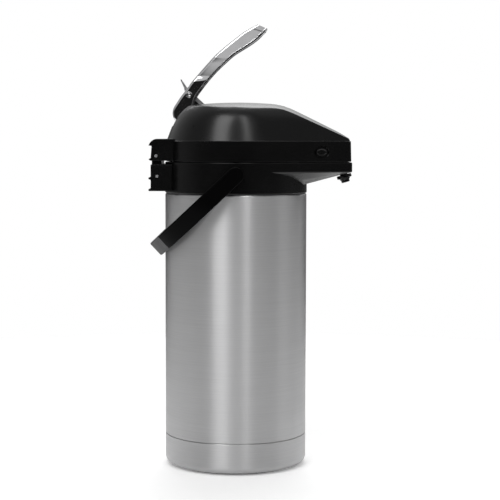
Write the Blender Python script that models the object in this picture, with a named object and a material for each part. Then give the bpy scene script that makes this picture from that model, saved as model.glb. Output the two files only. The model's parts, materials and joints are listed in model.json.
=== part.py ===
"""Lever-action thermal airpot: steel vacuum flask, hinged pump lid, press lever and bail handle.

Sizes are in millimetres and become metres where each mesh is made. The origin is the centre
of the base face, +X points to the spout and +Z is up. Every piece is built where it sits at
rest: flask upright, lid shut, lever raised, bail lying back against the body.
"""
import math

import bmesh
import bpy
from mathutils import Matrix, Vector

MM = 0.001
GAP = 0.35                    # clearance between neighbouring pieces

# Flask body
BODY_R = 80.0
SHELL_WALL = 0.9
BASE_SEAM_Z = 35.6
COLLAR_Z = 308.9
LINER_R = 73.0
MOUTH_R = 43.5
LINER_RIM_Z = 311.5

# Collar and lid
PARTING_Z = 344.0
WAIST_Z = 366.9
NOSE_X = 130.0
NOSE_BAND_Z = 333.0
NOSE_RAKE = 0.028             # how far the nose's front leans back, per millimetre of height
NOSE_CORNER_R = 5.0
SIDE_ANGLE = math.radians(65.4)   # where the nose's straight sides leave the round body
OPENING_R = 63.0
THROAT_R = 44.0
SEAT_Z = 325.0
LID_WALL = 2.6

# Joints, as (x, z)
HINGE = (-88.2, 350.6)
FULCRUM = (-57.0, 394.0)
LINK_TOP = (-52.5, 418.8)
LINK_FOOT = (-16.0, 367.4)
KEEPER = (-44.0, 391.0)
BAIL_Z = 330.0
BAIL_ANGLE = math.radians(43.3)   # below horizontal, towards the back
BUTTON_X = 95.5
BUTTON_Z = 355.0

# Lever and slot
LEVER_HALF = 11.0
LEVER_WALL = 1.9
SLOT_HALF = 14.0
CHEEK = 3.6

ROUND = 64                    # facets on the big round pieces
FINE = 40                     # facets on hidden round pieces
SMALL = 20                    # facets on pins


def clear_scene():
    for item in list(bpy.data.objects):
        bpy.data.objects.remove(item, do_unlink=True)


def material(name, colour, roughness, metallic=0.0):
    found = bpy.data.materials.get(name)
    if found:
        return found
    made = bpy.data.materials.new(name)
    made.use_nodes = True
    shader = made.node_tree.nodes["Principled BSDF"]
    shader.inputs["Base Color"].default_value = (*colour, 1.0)
    shader.inputs["Roughness"].default_value = roughness
    shader.inputs["Metallic"].default_value = metallic
    return made


def steel():
    return material("brushed_steel", (0.56, 0.56, 0.57), 0.32, 1.0)


def liner_steel():
    return material("liner_steel", (0.62, 0.62, 0.63), 0.22, 1.0)


def chrome():
    return material("lever_chrome", (0.75, 0.75, 0.76), 0.08, 1.0)


def pin_steel():
    return material("pin_steel", (0.6, 0.6, 0.6), 0.2, 1.0)


def black():
    return material("black_plastic", (0.012, 0.012, 0.013), 0.38)


def bail_black():
    return material("bail_plastic", (0.01, 0.01, 0.011), 0.45)


def inner_plastic():
    return material("inner_plastic", (0.05, 0.05, 0.055), 0.5)


def silicone():
    return material("silicone", (0.72, 0.72, 0.7), 0.6)


def rubber():
    return material("foot_rubber", (0.02, 0.02, 0.02), 0.8)


# ---- mesh helpers: all take millimetres in the assembled position ----

def add_loft(bm, rings, close_ends=True):
    """Skin a list of equal-length closed rings of points."""
    rows = [[bm.verts.new(point) for point in ring] for ring in rings]
    count = len(rows[0])
    for lower, upper in zip(rows, rows[1:]):
        for i in range(count):
            j = (i + 1) % count
            bm.faces.new((lower[i], lower[j], upper[j], upper[i]))
    if close_ends:
        bm.faces.new(list(reversed(rows[0])))
        bm.faces.new(rows[-1])
    return rows


def add_revolve(bm, profile, segments, place=None):
    """Turn a closed (radius, height) profile about Z; points on the axis become one vertex."""
    place = place or Matrix.Identity(4)
    rings = []
    for radius, height in profile:
        if radius < 1e-6:
            rings.append([bm.verts.new(place @ Vector((0, 0, height)))])
            continue
        ring = []
        for i in range(segments):
            angle = 2 * math.pi * i / segments
            point = Vector((radius * math.cos(angle), radius * math.sin(angle), height))
            ring.append(bm.verts.new(place @ point))
        rings.append(ring)
    for lower, upper in zip(rings, rings[1:] + rings[:1]):
        if len(lower) == 1 and len(upper) == 1:
            continue
        for i in range(segments):
            j = (i + 1) % segments
            corners = [lower[i % len(lower)], lower[j % len(lower)], upper[j % len(upper)],
                       upper[i % len(upper)]]
            unique = list(dict.fromkeys(corners))
            bm.faces.new(unique)


def add_prism(bm, outline, low, high, axis="Z"):
    """Extrude a closed 2-D outline: (x, y) along Z, or (x, z) along Y."""
    def lift(point, level):
        if axis == "Z":
            return (point[0], point[1], level)
        return (point[0], level, point[1])
    add_loft(bm, [[lift(p, low) for p in outline], [lift(p, high) for p in outline]])


def frame_along(direction):
    """A matrix whose Z axis points along direction."""
    return Vector(direction).to_track_quat("Z", "Y").to_matrix().to_4x4()


def add_rod(bm, start, end, radius, segments=SMALL):
    start = Vector(start)
    end = Vector(end)
    place = Matrix.Translation(start) @ frame_along(end - start)
    length = (end - start).length
    add_revolve(bm, [(0, 0), (radius, 0), (radius, length), (0, length)], segments, place)


def add_cross_pin(bm, centre, half, radius, segments=SMALL):
    add_rod(bm, (centre[0], -half, centre[1]), (centre[0], half, centre[1]), radius, segments)


def path_frames(points):
    """Ring frames along a path, turned as little as possible from one to the next."""
    points = [Vector(p) for p in points]
    frames = []
    side = None
    for i, point in enumerate(points):
        ahead = points[min(i + 1, len(points) - 1)]
        behind = points[max(i - 1, 0)]
        forward = (ahead - behind).normalized()
        if side is None:
            side = forward.orthogonal().normalized()
        side = (side - forward * side.dot(forward)).normalized()
        frames.append((point, side, forward.cross(side)))
    return frames


def path_ring(frame, radius, segments):
    point, side, up = frame
    ring = []
    for i in range(segments):
        angle = 2 * math.pi * i / segments
        ring.append(point + (side * math.cos(angle) + up * math.sin(angle)) * radius)
    return ring


def add_wire(bm, points, radius, segments=8):
    add_loft(bm, [path_ring(frame, radius, segments) for frame in path_frames(points)])


def add_pipe(bm, points, outer, inner, segments=SMALL):
    """An open pipe: the skin runs out along the outside and back along the bore."""
    frames = path_frames(points)
    rings = [path_ring(frame, outer, segments) for frame in frames]
    rings += [path_ring(frame, inner, segments) for frame in reversed(frames)]
    add_loft(bm, rings + rings[:1], close_ends=False)
    bmesh.ops.remove_doubles(bm, verts=bm.verts, dist=0.001)


def arc(centre, radius, start, end, steps):
    """Points on an arc from start to end degrees."""
    points = []
    for i in range(steps + 1):
        angle = math.radians(start + (end - start) * i / steps)
        points.append((centre[0] + radius * math.cos(angle), centre[1] + radius * math.sin(angle)))
    return points


def make(name, bm, finish, pivot=(0, 0, 0), sharp=32):
    """Turn a mesh in millimetres into a named object whose origin is its pivot."""
    bmesh.ops.recalc_face_normals(bm, faces=bm.faces)
    shift = Matrix.Translation(Vector(pivot) * -MM) @ Matrix.Scale(MM, 4)
    bmesh.ops.transform(bm, matrix=shift, verts=bm.verts)
    mesh = bpy.data.meshes.new(name)
    bm.to_mesh(mesh)
    bm.free()
    if finish:
        mesh.materials.append(finish)
    item = bpy.data.objects.new(name, mesh)
    item.location = Vector(pivot) * MM
    bpy.context.scene.collection.objects.link(item)
    mesh.shade_smooth()
    mesh.set_sharp_from_angle(angle=math.radians(sharp))
    return item


def combine(item, bm, operation, label):
    """Add a Boolean with a hidden wire guide object."""
    guide = make(f"guide_{label}", bm, None)
    guide.hide_render = True
    guide.display_type = "WIRE"
    step = item.modifiers.new(label, "BOOLEAN")
    step.operation = operation
    step.solver = "EXACT"
    step.object = guide


def cut(item, bm, label):
    combine(item, bm, "DIFFERENCE", f"{item.name}_cut_{label}")


def join(item, bm, label):
    combine(item, bm, "UNION", f"{item.name}_join_{label}")


def turned(name, profile, finish, segments=ROUND, sharp=32):
    bm = bmesh.new()
    add_revolve(bm, profile, segments)
    return make(name, bm, finish, sharp=sharp)


def joint_point(pivot):
    return (pivot[0], 0.0, pivot[1])


# ---- the nose's plan outline, shared by the collar and the lid ----

def plan_outline(inset=0.0, height=NOSE_BAND_Z, arc_steps=30, side_steps=4):
    """Round body with near-tangent sides running out to the nose, moved in by inset."""
    normal = (math.cos(SIDE_ANGLE), math.sin(SIDE_ANGLE))
    corner = max(NOSE_CORNER_R - inset, 1.0)
    front = NOSE_X - NOSE_RAKE * (height - NOSE_BAND_Z) - inset
    centre_x = front - corner
    centre_y = (BODY_R - inset - corner - normal[0] * centre_x) / normal[1]
    start = math.degrees(SIDE_ANGLE)
    left = arc((centre_x, centre_y), corner, 0, start, 4)
    round_side = arc((0, 0), BODY_R - inset, start, 360 - start, arc_steps)
    side = []
    for i in range(1, side_steps):
        t = i / side_steps
        side.append((left[-1][0] + (round_side[0][0] - left[-1][0]) * t,
                     left[-1][1] + (round_side[0][1] - left[-1][1]) * t))
    mirrored_side = [(x, -y) for x, y in reversed(side)]
    right = [(x, -y) for x, y in reversed(left)]
    return left + side + round_side + mirrored_side + right


def side_point(x, height, outward=0.0):
    """A point on the nose's near side wall, moved outward along its normal."""
    y = (BODY_R - math.cos(SIDE_ANGLE) * x) / math.sin(SIDE_ANGLE)
    return Vector((x + outward * math.cos(SIDE_ANGLE), y + outward * math.sin(SIDE_ANGLE), height))


# ---- flask: foot, base, shell, liner ----

def base_pad():
    turned("base_pad", [(0, 0), (69, 0), (70, 1), (70, 3), (0, 3)], rubber(), FINE)


def base_cap():
    bend = 8.0
    floor = 3.4
    corner = arc((BODY_R - bend, 1.5 + bend), bend, -90, 0, 5)
    inner = arc((BODY_R - bend, 1.5 + bend), bend - 1.4, 0, -55, 2)
    spigot = BODY_R - SHELL_WALL - GAP
    profile = [(0, floor), (70.4, floor), (70.4, 1.5)] + corner
    profile += [(BODY_R, BASE_SEAM_Z - 0.8), (BODY_R - 0.7, BASE_SEAM_Z - 0.1), (spigot, BASE_SEAM_Z - 0.1),
                (spigot, 43), (spigot - 1.4, 43)]
    profile += inner + [(70.4, floor + 2), (0, floor + 2)]
    turned("base_cap", profile, steel())


def outer_shell():
    inner = BODY_R - SHELL_WALL
    bottom = BASE_SEAM_Z + 0.4
    top = COLLAR_Z - GAP
    profile = [(inner, bottom), (BODY_R - 0.6, bottom), (BODY_R, bottom + 0.7), (BODY_R, top - 2),
               (BODY_R - 2, top), (50, top), (50, top - 1.4), (inner - 1, top - 1.4), (inner, top - 2.6)]
    turned("outer_shell", profile, steel())


def inner_liner():
    wall = 0.8
    shoulder = arc((LINER_R - 24, 268), 24, 0, 62, 4)
    outer = [(0, 14), (LINER_R - 10, 14)] + arc((LINER_R - 10, 24), 10, -60, 0, 3) + shoulder
    outer += [(MOUTH_R + 1.2, 300), (MOUTH_R + 1.2, LINER_RIM_Z - 1.6), (49, LINER_RIM_Z - 1.6),
              (49, LINER_RIM_Z), (MOUTH_R, LINER_RIM_Z), (MOUTH_R, 299)]
    inner_shoulder = arc((LINER_R - 24, 268), 24 - wall, 62, 0, 4)
    inner = inner_shoulder + arc((LINER_R - 10, 24), 10 - wall, 0, -60, 3) + [(LINER_R - 10, 15), (0, 15)]
    turned("inner_liner", outer + inner, liner_steel(), FINE)


def liner_support():
    profile = [(30, 5.9), (46, 5.9), (46, 13.5), (30, 13.5)]
    turned("liner_support", profile, silicone(), FINE)


def neck_gasket():
    profile = [(MOUTH_R + 0.5, 311.9), (48.5, 311.9), (48.5, 314.0), (MOUTH_R + 0.5, 314.0)]
    turned("neck_gasket", profile, silicone(), FINE)


# ---- collar with the lower half of the nose ----

def keel_z(x):
    """Height of the underside of the nose, rising towards the spout."""
    return 319.6 + 0.258 * (x - 79.5)


def nose_block(bm, shrink, root_x, top, band, lift):
    """The lower nose: a straight band, then flanks leaning in to a rising keel."""
    near_side = [p for p in plan_outline(shrink) if p[1] > 0 and p[0] > max(root_x, 34)]
    root_y = (BODY_R - shrink - math.cos(SIDE_ANGLE) * root_x) / math.sin(SIDE_ANGLE) - 1.5
    half = near_side + [(root_x, root_y)]
    outline = half + [(x, -y) for x, y in reversed(half)]
    keel = []
    for x, y in outline:
        keel_x = min(x, 116 - shrink)
        keel.append((keel_x, y * 0.5, keel_z(keel_x) + lift))
    middle = [(x, y, band) for x, y in outline]
    upper = [(x, y, top) for x, y in outline]
    add_loft(bm, [keel, middle, upper])


def collar_shell():
    edge = 3.0
    top = PARTING_Z - 0.5
    profile = [(BODY_R - 3, COLLAR_Z), (BODY_R - edge + 0.3, COLLAR_Z)]
    profile += arc((BODY_R - edge + 0.3, COLLAR_Z + edge), edge, -70, 0, 4)
    profile += [(BODY_R + 0.3, top - 0.3), (BODY_R, top), (66, top), (66, top - 2.6), (BODY_R - 3, top - 2.6)]
    item = turned("collar_shell", profile, black())

    nose = bmesh.new()
    nose_block(nose, 0.0, 36, top, NOSE_BAND_Z, 0.0)
    join(item, nose, "nose")

    hollow = bmesh.new()
    nose_block(hollow, 3.0, 70, top + 8, NOSE_BAND_Z + 2, 3.2)
    cut(item, hollow, "nose_hollow")

    well = bmesh.new()
    room = [(0, 300), (BODY_R - 3, 300), (BODY_R - 3, top - 2.6), (66, top - 2.6), (66, 360), (0, 360)]
    add_revolve(well, room, ROUND)
    cut(item, well, "well")

    outlet = bmesh.new()
    add_rod(outlet, along_nozzle(-9), along_nozzle(2), 3.0)
    cut(item, outlet, "outlet")


def inner_funnel():
    top = PARTING_Z - 0.8
    profile = [(THROAT_R, 314.4), (52, 314.4), (52, 317), (THROAT_R + 2.6, 317.0),
               (THROAT_R + 2.6, SEAT_Z - 2.6), (OPENING_R + 2.6, SEAT_Z - 2.6), (OPENING_R + 2.6, top),
               (OPENING_R, top), (OPENING_R, SEAT_Z), (THROAT_R, SEAT_Z)]
    item = turned("inner_funnel", profile, inner_plastic(), FINE)
    hole = bmesh.new()
    add_rod(hole, (36, 0, 319.6), (56, 0, 319.6), 2.75, SMALL)
    cut(item, hole, "duct_hole")


def coffee_path():
    """Centre line from the foot of the dip tube to the nozzle, with rounded bends."""
    stem_x = 34.0
    stem = [(stem_x, 0, 19), (stem_x, 0, 120), (stem_x, 0, 220), (stem_x, 0, 312)]
    elbow = [(x, 0, z) for x, z in arc((stem_x + 7.6, 312), 7.6, 180, 90, 5)][1:]
    return stem + elbow + [(50.0, 0, 319.6)]


def dip_tube():
    bm = bmesh.new()
    add_pipe(bm, coffee_path(), 2.4, 1.7, 14)
    make("dip_tube", bm, inner_plastic())


NOZZLE_TILT = math.radians(16)
NOZZLE_TOP = Vector((122.0, 0, 329.9))


def along_nozzle(distance):
    """A point on the nozzle's axis, which leans forward as it goes down."""
    return NOZZLE_TOP + Vector((math.sin(NOZZLE_TILT), 0, -math.cos(NOZZLE_TILT))) * distance


def spout_duct():
    points = [(50.6, 0, 319.6), (60, 0, 319.6), (66.6, 0, 319.5), (71, 0, 322.4), (77, 0, 326.2),
              (92, 0, 330.0), (110, 0, 334.4), (114.6, 0, 335.5), (117.8, 0, 335.8), (119.9, 0, 334.8),
              (121.1, 0, 332.9)]
    points += [along_nozzle(-0.4), along_nozzle(2.8)]
    bm = bmesh.new()
    add_pipe(bm, points, 2.4, 1.7, 14)
    make("spout_duct", bm, inner_plastic())


def nozzle():
    tilt = Matrix.Translation(NOZZLE_TOP) @ Matrix.Rotation(math.pi - NOZZLE_TILT, 4, "Y")
    profile = [(2.9, -0.4), (4.3, -0.4), (4.3, 0.9), (8.0, 0.9), (8.4, 1.4), (8.4, 4.0), (7.8, 4.6),
               (5.9, 4.8), (5.6, 6.2), (4.8, 6.6), (4.6, 9.4), (3.4, 9.4), (2.9, 5.6)]
    bm = bmesh.new()
    add_revolve(bm, profile, 28, tilt)
    make("nozzle", bm, black())


# ---- hinge on the collar, bail pivots ----

HINGE_HALF = 38.5
KNUCKLE_HALF = 31.0
HINGE_BACK = -94.3


def hinge_bracket():
    low = 311.5
    top = 341.0
    rib = HINGE_BACK - 2.4
    outline = [(-66, low), (rib, low), (rib, low + 2.2), (HINGE_BACK, low + 3.2), (HINGE_BACK, 324),
               (rib, 324.7), (rib, 326.6), (HINGE_BACK, 327.3), (HINGE_BACK, top), (-66, top)]
    bm = bmesh.new()
    add_prism(bm, outline, -HINGE_HALF, HINGE_HALF, "Y")
    item = make("hinge_bracket", bm, black(), sharp=20)

    knuckle = bmesh.new()
    cheek = arc(HINGE, 5.2, 180, 0, 8) + [(HINGE[0] + 5.2, top - 4), (HINGE[0] - 5.2, top - 4)]
    add_prism(knuckle, cheek, -KNUCKLE_HALF, KNUCKLE_HALF, "Y")
    join(item, knuckle, "knuckle")

    seat = bmesh.new()
    add_revolve(seat, [(0, 300), (BODY_R + 0.3 + GAP, 300), (BODY_R + 0.3 + GAP, 360), (0, 360)], ROUND)
    cut(item, seat, "body")

    bores = bmesh.new()
    add_cross_pin(bores, HINGE, 40, 1.7 + GAP)
    add_cross_pin(bores, (-87.2, 328.1), 40, 1.7 + GAP)
    cut(item, bores, "bores")


def hinge_pins():
    for name, centre in (("hinge_pin", HINGE), ("bracket_pin", (-87.2, 328.1))):
        bm = bmesh.new()
        add_cross_pin(bm, centre, HINGE_HALF + 0.4, 1.7)
        make(name, bm, pin_steel())


def bail_pivots():
    for side, name in ((1, "bail_pivot_left"), (-1, "bail_pivot_right")):
        turn = Matrix.Translation((0, 0, BAIL_Z)) @ Matrix.Rotation(math.radians(-90 * side), 4, "X")
        profile = [(0, 80.8), (8.4, 80.8), (8.4, 84.3), (5.0, 84.3), (5.0, 87.6), (0, 87.6)]
        bm = bmesh.new()
        add_revolve(bm, profile, 28, turn)
        make(name, bm, black())


# ---- lid: domed shell running down to the nose ----

BAND_INSET = 0.7              # the lid's upright band stands in from the collar
FLANK_FOOT = 1.6              # inset of the flank just above the waist crease
FLANK_RISE = 38.5
FLANK_LEAN = 0.38
FLANK_CURL = 8.8              # how much further the flank curls in at its top
CROWN_Z = 410.3
SLOPE_START = 54.0
SLOPE = math.tan(math.radians(26.4))


def flank_point(t):
    """Inset and height of the dome's flank, t from 0 at the waist to 1 and beyond."""
    rise = FLANK_RISE * t
    return FLANK_FOOT + FLANK_LEAN * rise + FLANK_CURL * t ** 4.5, WAIST_Z + 0.5 + rise


def crown_z(x, y):
    """Top of the lid: gently crowned, then falling straight to the tip of the nose."""
    blend = 7.0
    ahead = x - SLOPE_START
    eased = 0.5 * (ahead + math.hypot(ahead, blend)) - 0.8
    fall = 0.0012 if x < 0 else 0.0009
    tail = 0.0035 * max(-40 - x, 0.0) ** 2
    line = CROWN_Z - fall * min(x, SLOPE_START) ** 2 - SLOPE * max(eased, 0.0) - tail
    bend = 0.0018 + 0.0011 * min(max(x / 60, 0), 1)
    return line - bend * y * y


def crown_break(index):
    """How far up the flank each station of the outline meets the crown."""
    low, high = 0.0, 1.6
    for halving in range(30):
        middle = 0.5 * (low + high)
        inset, height = flank_point(middle)
        x, y = plan_outline(inset, height)[index]
        if height < crown_z(x, y):
            low = middle
        else:
            high = middle
    return low


def spine_point(x):
    """Where a station's row ends on the lid's centre line."""
    return min(max(x * 0.86, -30), 112)


def dome_column(index, limit, flank_steps, crown_steps, inset_by):
    """Points from the lid's lower edge up the flank and across the crown to the centre line."""
    column = []
    for height in (PARTING_Z + GAP, WAIST_Z - inset_by * 0.5):
        x, y = plan_outline(BAND_INSET + inset_by, height)[index]
        column.append((x, y, height))
    ease = min(0.03, 0.4 * limit)
    for step in range(flank_steps + 1):
        t = (limit - ease) * step / flank_steps
        inset, height = flank_point(t)
        x, y = plan_outline(inset + inset_by, height)[index]
        column.append((x, y, height - inset_by * 0.6))
    inset, height = flank_point(limit)
    rim_x, rim_y = plan_outline(inset + inset_by, height)[index]
    end_x = spine_point(rim_x)
    for step in range(crown_steps):
        t = 0.025 + 0.975 * (step / crown_steps) ** 1.3
        x = rim_x + (end_x - rim_x) * t
        y = rim_y * (1 - t)
        column.append((x, y, crown_z(x, y) - inset_by))
    return column


def dome_skin(bm, inset_by, flank_steps, crown_steps):
    """One skin of the dome, from its lower edge up to a seam along the centre line."""
    count = len(plan_outline())
    columns = []
    for index in range(count):
        limit = crown_break(index)
        columns.append(dome_column(index, limit, flank_steps, crown_steps, inset_by))
    rows = [[bm.verts.new(column[k]) for column in columns] for k in range(len(columns[0]))]
    for lower, upper in zip(rows, rows[1:]):
        for i in range(count):
            j = (i + 1) % count
            bm.faces.new((lower[i], lower[j], upper[j], upper[i]))
    for i in range(count // 2):
        strip = (rows[-1][i], rows[-1][i + 1], rows[-1][count - 2 - i], rows[-1][count - 1 - i])
        bm.faces.new(list(dict.fromkeys(strip)))
    return rows[0]


def dome_shell():
    bm = bmesh.new()
    outer = dome_skin(bm, 0.0, 6, 5)
    inner = dome_skin(bm, LID_WALL, 4, 3)
    count = len(outer)
    for i in range(count):
        j = (i + 1) % count
        bm.faces.new((outer[i], inner[i], inner[j], outer[j]))
    return make("lid_shell", bm, black(), sharp=24)


def oval_outline(half_long, half_high, steps=24):
    """An oval standing upright in its own plane: x along the wall, y up."""
    return [(half_long * math.cos(2 * math.pi * i / steps), half_high * math.sin(2 * math.pi * i / steps))
            for i in range(steps)]


def wall_plug(bm, half_long, half_high, depth_in, depth_out, side):
    """An oval plug square to the nose's side wall, on the near (-1) or far (1) side."""
    along = Vector((math.sin(SIDE_ANGLE), -math.cos(SIDE_ANGLE), 0))
    out = Vector((math.cos(SIDE_ANGLE), math.sin(SIDE_ANGLE), 0))
    centre = side_point(BUTTON_X, BUTTON_Z)
    rings = []
    for depth in (-depth_in, depth_out):
        ring = []
        for a, b in oval_outline(half_long, half_high):
            point = centre + along * a + out * depth + Vector((0, 0, b))
            ring.append((point.x, point.y * side, point.z))
        rings.append(ring)
    add_loft(bm, rings)


CHEEK_OUTLINE = [(-66, 390.5), (-63, 386), (-56, 384.5), (-44, 384.5), (-39, 387), (-37.5, 396),
                 (-37.5, 405.6), (-46, 404.6), (-53, 401.5), (-60, 396.5)]
SCREW_R = 69.0


def screw_spots():
    bearings = [math.radians(a) for a in (68, 130, 230, 292)]
    return [(SCREW_R * math.cos(a), SCREW_R * math.sin(a)) for a in bearings]


def lid_shell():
    item = dome_shell()

    leaf = bmesh.new()
    outline = [(-66, 345.2), (-94.2, 345.2), (-96.2, 346.2), (-96.2, 347.4), (-94.2, 348), (-93.2, 361.5),
               (-97, 362.4), (-96, 364.6), (-93, 366.9), (-88, 368.8), (-84, 369.4), (-66, 369.4)]
    add_prism(leaf, outline, -HINGE_HALF, HINGE_HALF, "Y")
    join(item, leaf, "hinge_leaf")

    inside = bmesh.new()
    room = BODY_R - BAND_INSET - LID_WALL - 0.3
    add_revolve(inside, [(0, 330), (room, 330), (room, 366.5), (room - 4, 371), (0, 371)], ROUND)
    cut(item, inside, "inside")

    cheeks = bmesh.new()
    for side in (1, -1):
        low, high = sorted((side * SLOT_HALF, side * (SLOT_HALF + CHEEK)))
        add_prism(cheeks, CHEEK_OUTLINE, low, high, "Y")
    join(item, cheeks, "cheeks")

    bosses = bmesh.new()
    for x, y in screw_spots():
        add_rod(bosses, (x, y, FLANGE_Z + 3), (x, y, 384.0), 3.6, 14)
    join(item, bosses, "bosses")


    bite = bmesh.new()
    add_prism(bite, [(-110, 340), (-80.3, 340), (-80.3, 359.0), (-88, 361.5), (-93, 360.4), (-110, 354)],
              -(KNUCKLE_HALF + 0.6), KNUCKLE_HALF + 0.6, "Y")
    cut(item, bite, "knuckle_room")

    bore = bmesh.new()
    add_cross_pin(bore, HINGE, 40, 1.7 + GAP)
    cut(item, bore, "hinge_bore")

    slot = bmesh.new()
    slot_outline = [(-90, 383.6), (-50, 383.6), (-40, 376), (-20, 376), (2, 392), (2, 430), (-90, 430)]
    add_prism(slot, slot_outline, -SLOT_HALF, SLOT_HALF, "Y")
    cut(item, slot, "lever_slot")

    pins = bmesh.new()
    add_cross_pin(pins, FULCRUM, SLOT_HALF + 2.6, 2.5 + GAP)
    add_cross_pin(pins, KEEPER, SLOT_HALF + 2.6, 2.0 + GAP)
    cut(item, pins, "pin_seats")

    holes = bmesh.new()
    for x, y in screw_spots():
        add_rod(holes, (x, y, FLANGE_Z), (x, y, FLANGE_Z + 13), 1.3 + GAP, 12)
    cut(item, holes, "screw_holes")

    windows = bmesh.new()
    for side in (1, -1):
        wall_plug(windows, 9.0, 6.7, 2.7, 8, side)
        wall_plug(windows, 7.4, 4.9, 8, 8, side)
    cut(item, windows, "button_windows")


def release_buttons():
    for side, name in ((1, "release_button_left"), (-1, "release_button_right")):
        bm = bmesh.new()
        wall_plug(bm, 7.0, 4.5, 4.1, -0.9, side)
        pivot = side_point(BUTTON_X, BUTTON_Z)
        item = make(name, bm, black(), pivot=(pivot.x, pivot.y * side, pivot.z))
        flange = bmesh.new()
        wall_plug(flange, 9.0, 6.4, 5.5, -3.7, side)
        join(item, flange, "flange")
        latch = bmesh.new()
        low = side_point(BUTTON_X - 4, 337.5, -8.7)
        out = Vector((math.cos(SIDE_ANGLE), math.sin(SIDE_ANGLE), 0)) * 3.6
        along = Vector((math.sin(SIDE_ANGLE), -math.cos(SIDE_ANGLE), 0)) * 8
        base = [low, low + along, low + along + out, low + out]
        rings = []
        for height in (337.5, 357.0):
            rings.append([(p.x, p.y * side, height) for p in base])
        add_loft(latch, rings)
        join(item, latch, "latch")


# ---- inside the lid: base plate, seal, valve, pump ----

BASE_Z = 329.3
FLANGE_Z = PARTING_Z + 3.0


def lid_base():
    profile = [(2.8, BASE_Z), (60, BASE_Z), (60, FLANGE_Z), (73.2, FLANGE_Z), (73.2, FLANGE_Z + 2.4),
               (57.6, FLANGE_Z + 2.4), (57.6, BASE_Z + 2.4), (2.8, BASE_Z + 2.4)]
    item = turned("lid_base", profile, inner_plastic(), FINE)
    holes = bmesh.new()
    for x, y in screw_spots():
        add_rod(holes, (x, y, FLANGE_Z - 2), (x, y, FLANGE_Z + 5), 1.9, 12)
    for i in range(6):
        angle = math.radians(60 * i + 30)
        x, y = 9 * math.cos(angle), 9 * math.sin(angle)
        add_rod(holes, (x, y, BASE_Z - 2), (x, y, BASE_Z + 5), 1.6, 10)
    cut(item, holes, "holes")


def lid_gasket():
    profile = [(46, SEAT_Z + GAP), (54, SEAT_Z + GAP), (55.5, SEAT_Z + 2), (54, BASE_Z - GAP),
               (46, BASE_Z - GAP), (44.5, SEAT_Z + 2)]
    turned("lid_gasket", profile, silicone(), FINE)


def air_valve():
    profile = [(0, BASE_Z - 3.0), (8, BASE_Z - 2.4), (14, BASE_Z - 1.2), (14, BASE_Z - 0.5),
               (2.4, BASE_Z - 0.5), (2.4, BASE_Z + 3.0), (3.8, BASE_Z + 3.2), (2.0, BASE_Z + 6.0),
               (0, BASE_Z + 6.4)]
    turned("air_valve", profile, silicone(), 28)


def lid_screws():
    head = FLANGE_Z - 0.4
    profile = [(0, head - 1.7), (2.6, head - 1.7), (3.0, head - 1), (3.0, head), (1.3, head),
               (1.3, head + 11.4), (0, head + 12.4)]
    for number, (x, y) in enumerate(screw_spots(), 1):
        bm = bmesh.new()
        add_revolve(bm, profile, 12, Matrix.Translation((x, y, 0)))
        make(f"lid_screw_{number}", bm, pin_steel())


PLUNGER_Z = 357.6


def bellows():
    bottom = BASE_Z + 2.4 + GAP
    top = PLUNGER_Z - GAP
    folds = 4
    wall = 1.1
    outer = []
    for i in range(2 * folds + 1):
        z = bottom + (top - bottom) * i / (2 * folds)
        outer.append((47.5 if i % 2 else 42.0, z))
    inner = [(r - wall * 1.6, z) for r, z in reversed(outer)]
    turned("bellows", outer + inner, silicone(), 32, sharp=70)


def return_spring():
    bottom = BASE_Z + 2.4 + GAP + 1.1
    top = PLUNGER_Z - GAP - 1.1
    turns = 4.5
    count = 72
    points = []
    for i in range(count + 1):
        angle = 2 * math.pi * turns * i / count
        points.append((17 * math.cos(angle), 17 * math.sin(angle), bottom + (top - bottom) * i / count))
    bm = bmesh.new()
    add_wire(bm, points, 1.05, 6)
    make("return_spring", bm, pin_steel(), sharp=70)


def plunger():
    profile = [(0, PLUNGER_Z), (48, PLUNGER_Z), (49, PLUNGER_Z + 0.8), (49, PLUNGER_Z + 3),
               (0, PLUNGER_Z + 3)]
    bm = bmesh.new()
    add_revolve(bm, profile, FINE)
    item = make("plunger", bm, inner_plastic(), pivot=(0, 0, PLUNGER_Z))
    tower = bmesh.new()
    foot_x, foot_z = LINK_FOOT
    for side in (1, -1):
        low, high = sorted((side * 4.2, side * 7.2))
        outline = [(foot_x - 11, PLUNGER_Z + 1)] + arc(LINK_FOOT, 6.6, 180, 0, 8)
        outline += [(foot_x + 11, PLUNGER_Z + 1)]
        add_prism(tower, outline, low, high, "Y")
    join(item, tower, "tower")
    bore = bmesh.new()
    add_cross_pin(bore, (foot_x, foot_z), 9, 3.9)
    cut(item, bore, "bore")


# ---- link, lever, catch ----

def link():
    top = Vector((LINK_TOP[0], 0, LINK_TOP[1]))
    foot = Vector((LINK_FOOT[0], 0, LINK_FOOT[1]))
    heading = math.degrees(math.atan2(top.z - foot.z, top.x - foot.x))
    outline = arc(LINK_TOP, 4.6, heading - 90, heading + 90, 8)
    outline += arc(LINK_FOOT, 4.4, heading + 90, heading + 270, 8)
    bm = bmesh.new()
    add_prism(bm, outline, -3, 3, "Y")
    item = make("link", bm, inner_plastic(), pivot=joint_point(LINK_TOP))
    bores = bmesh.new()
    add_cross_pin(bores, LINK_TOP, 5, 2.0 + GAP)
    add_cross_pin(bores, LINK_FOOT, 5, 1.8 + GAP)
    cut(item, bores, "bores")


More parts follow.
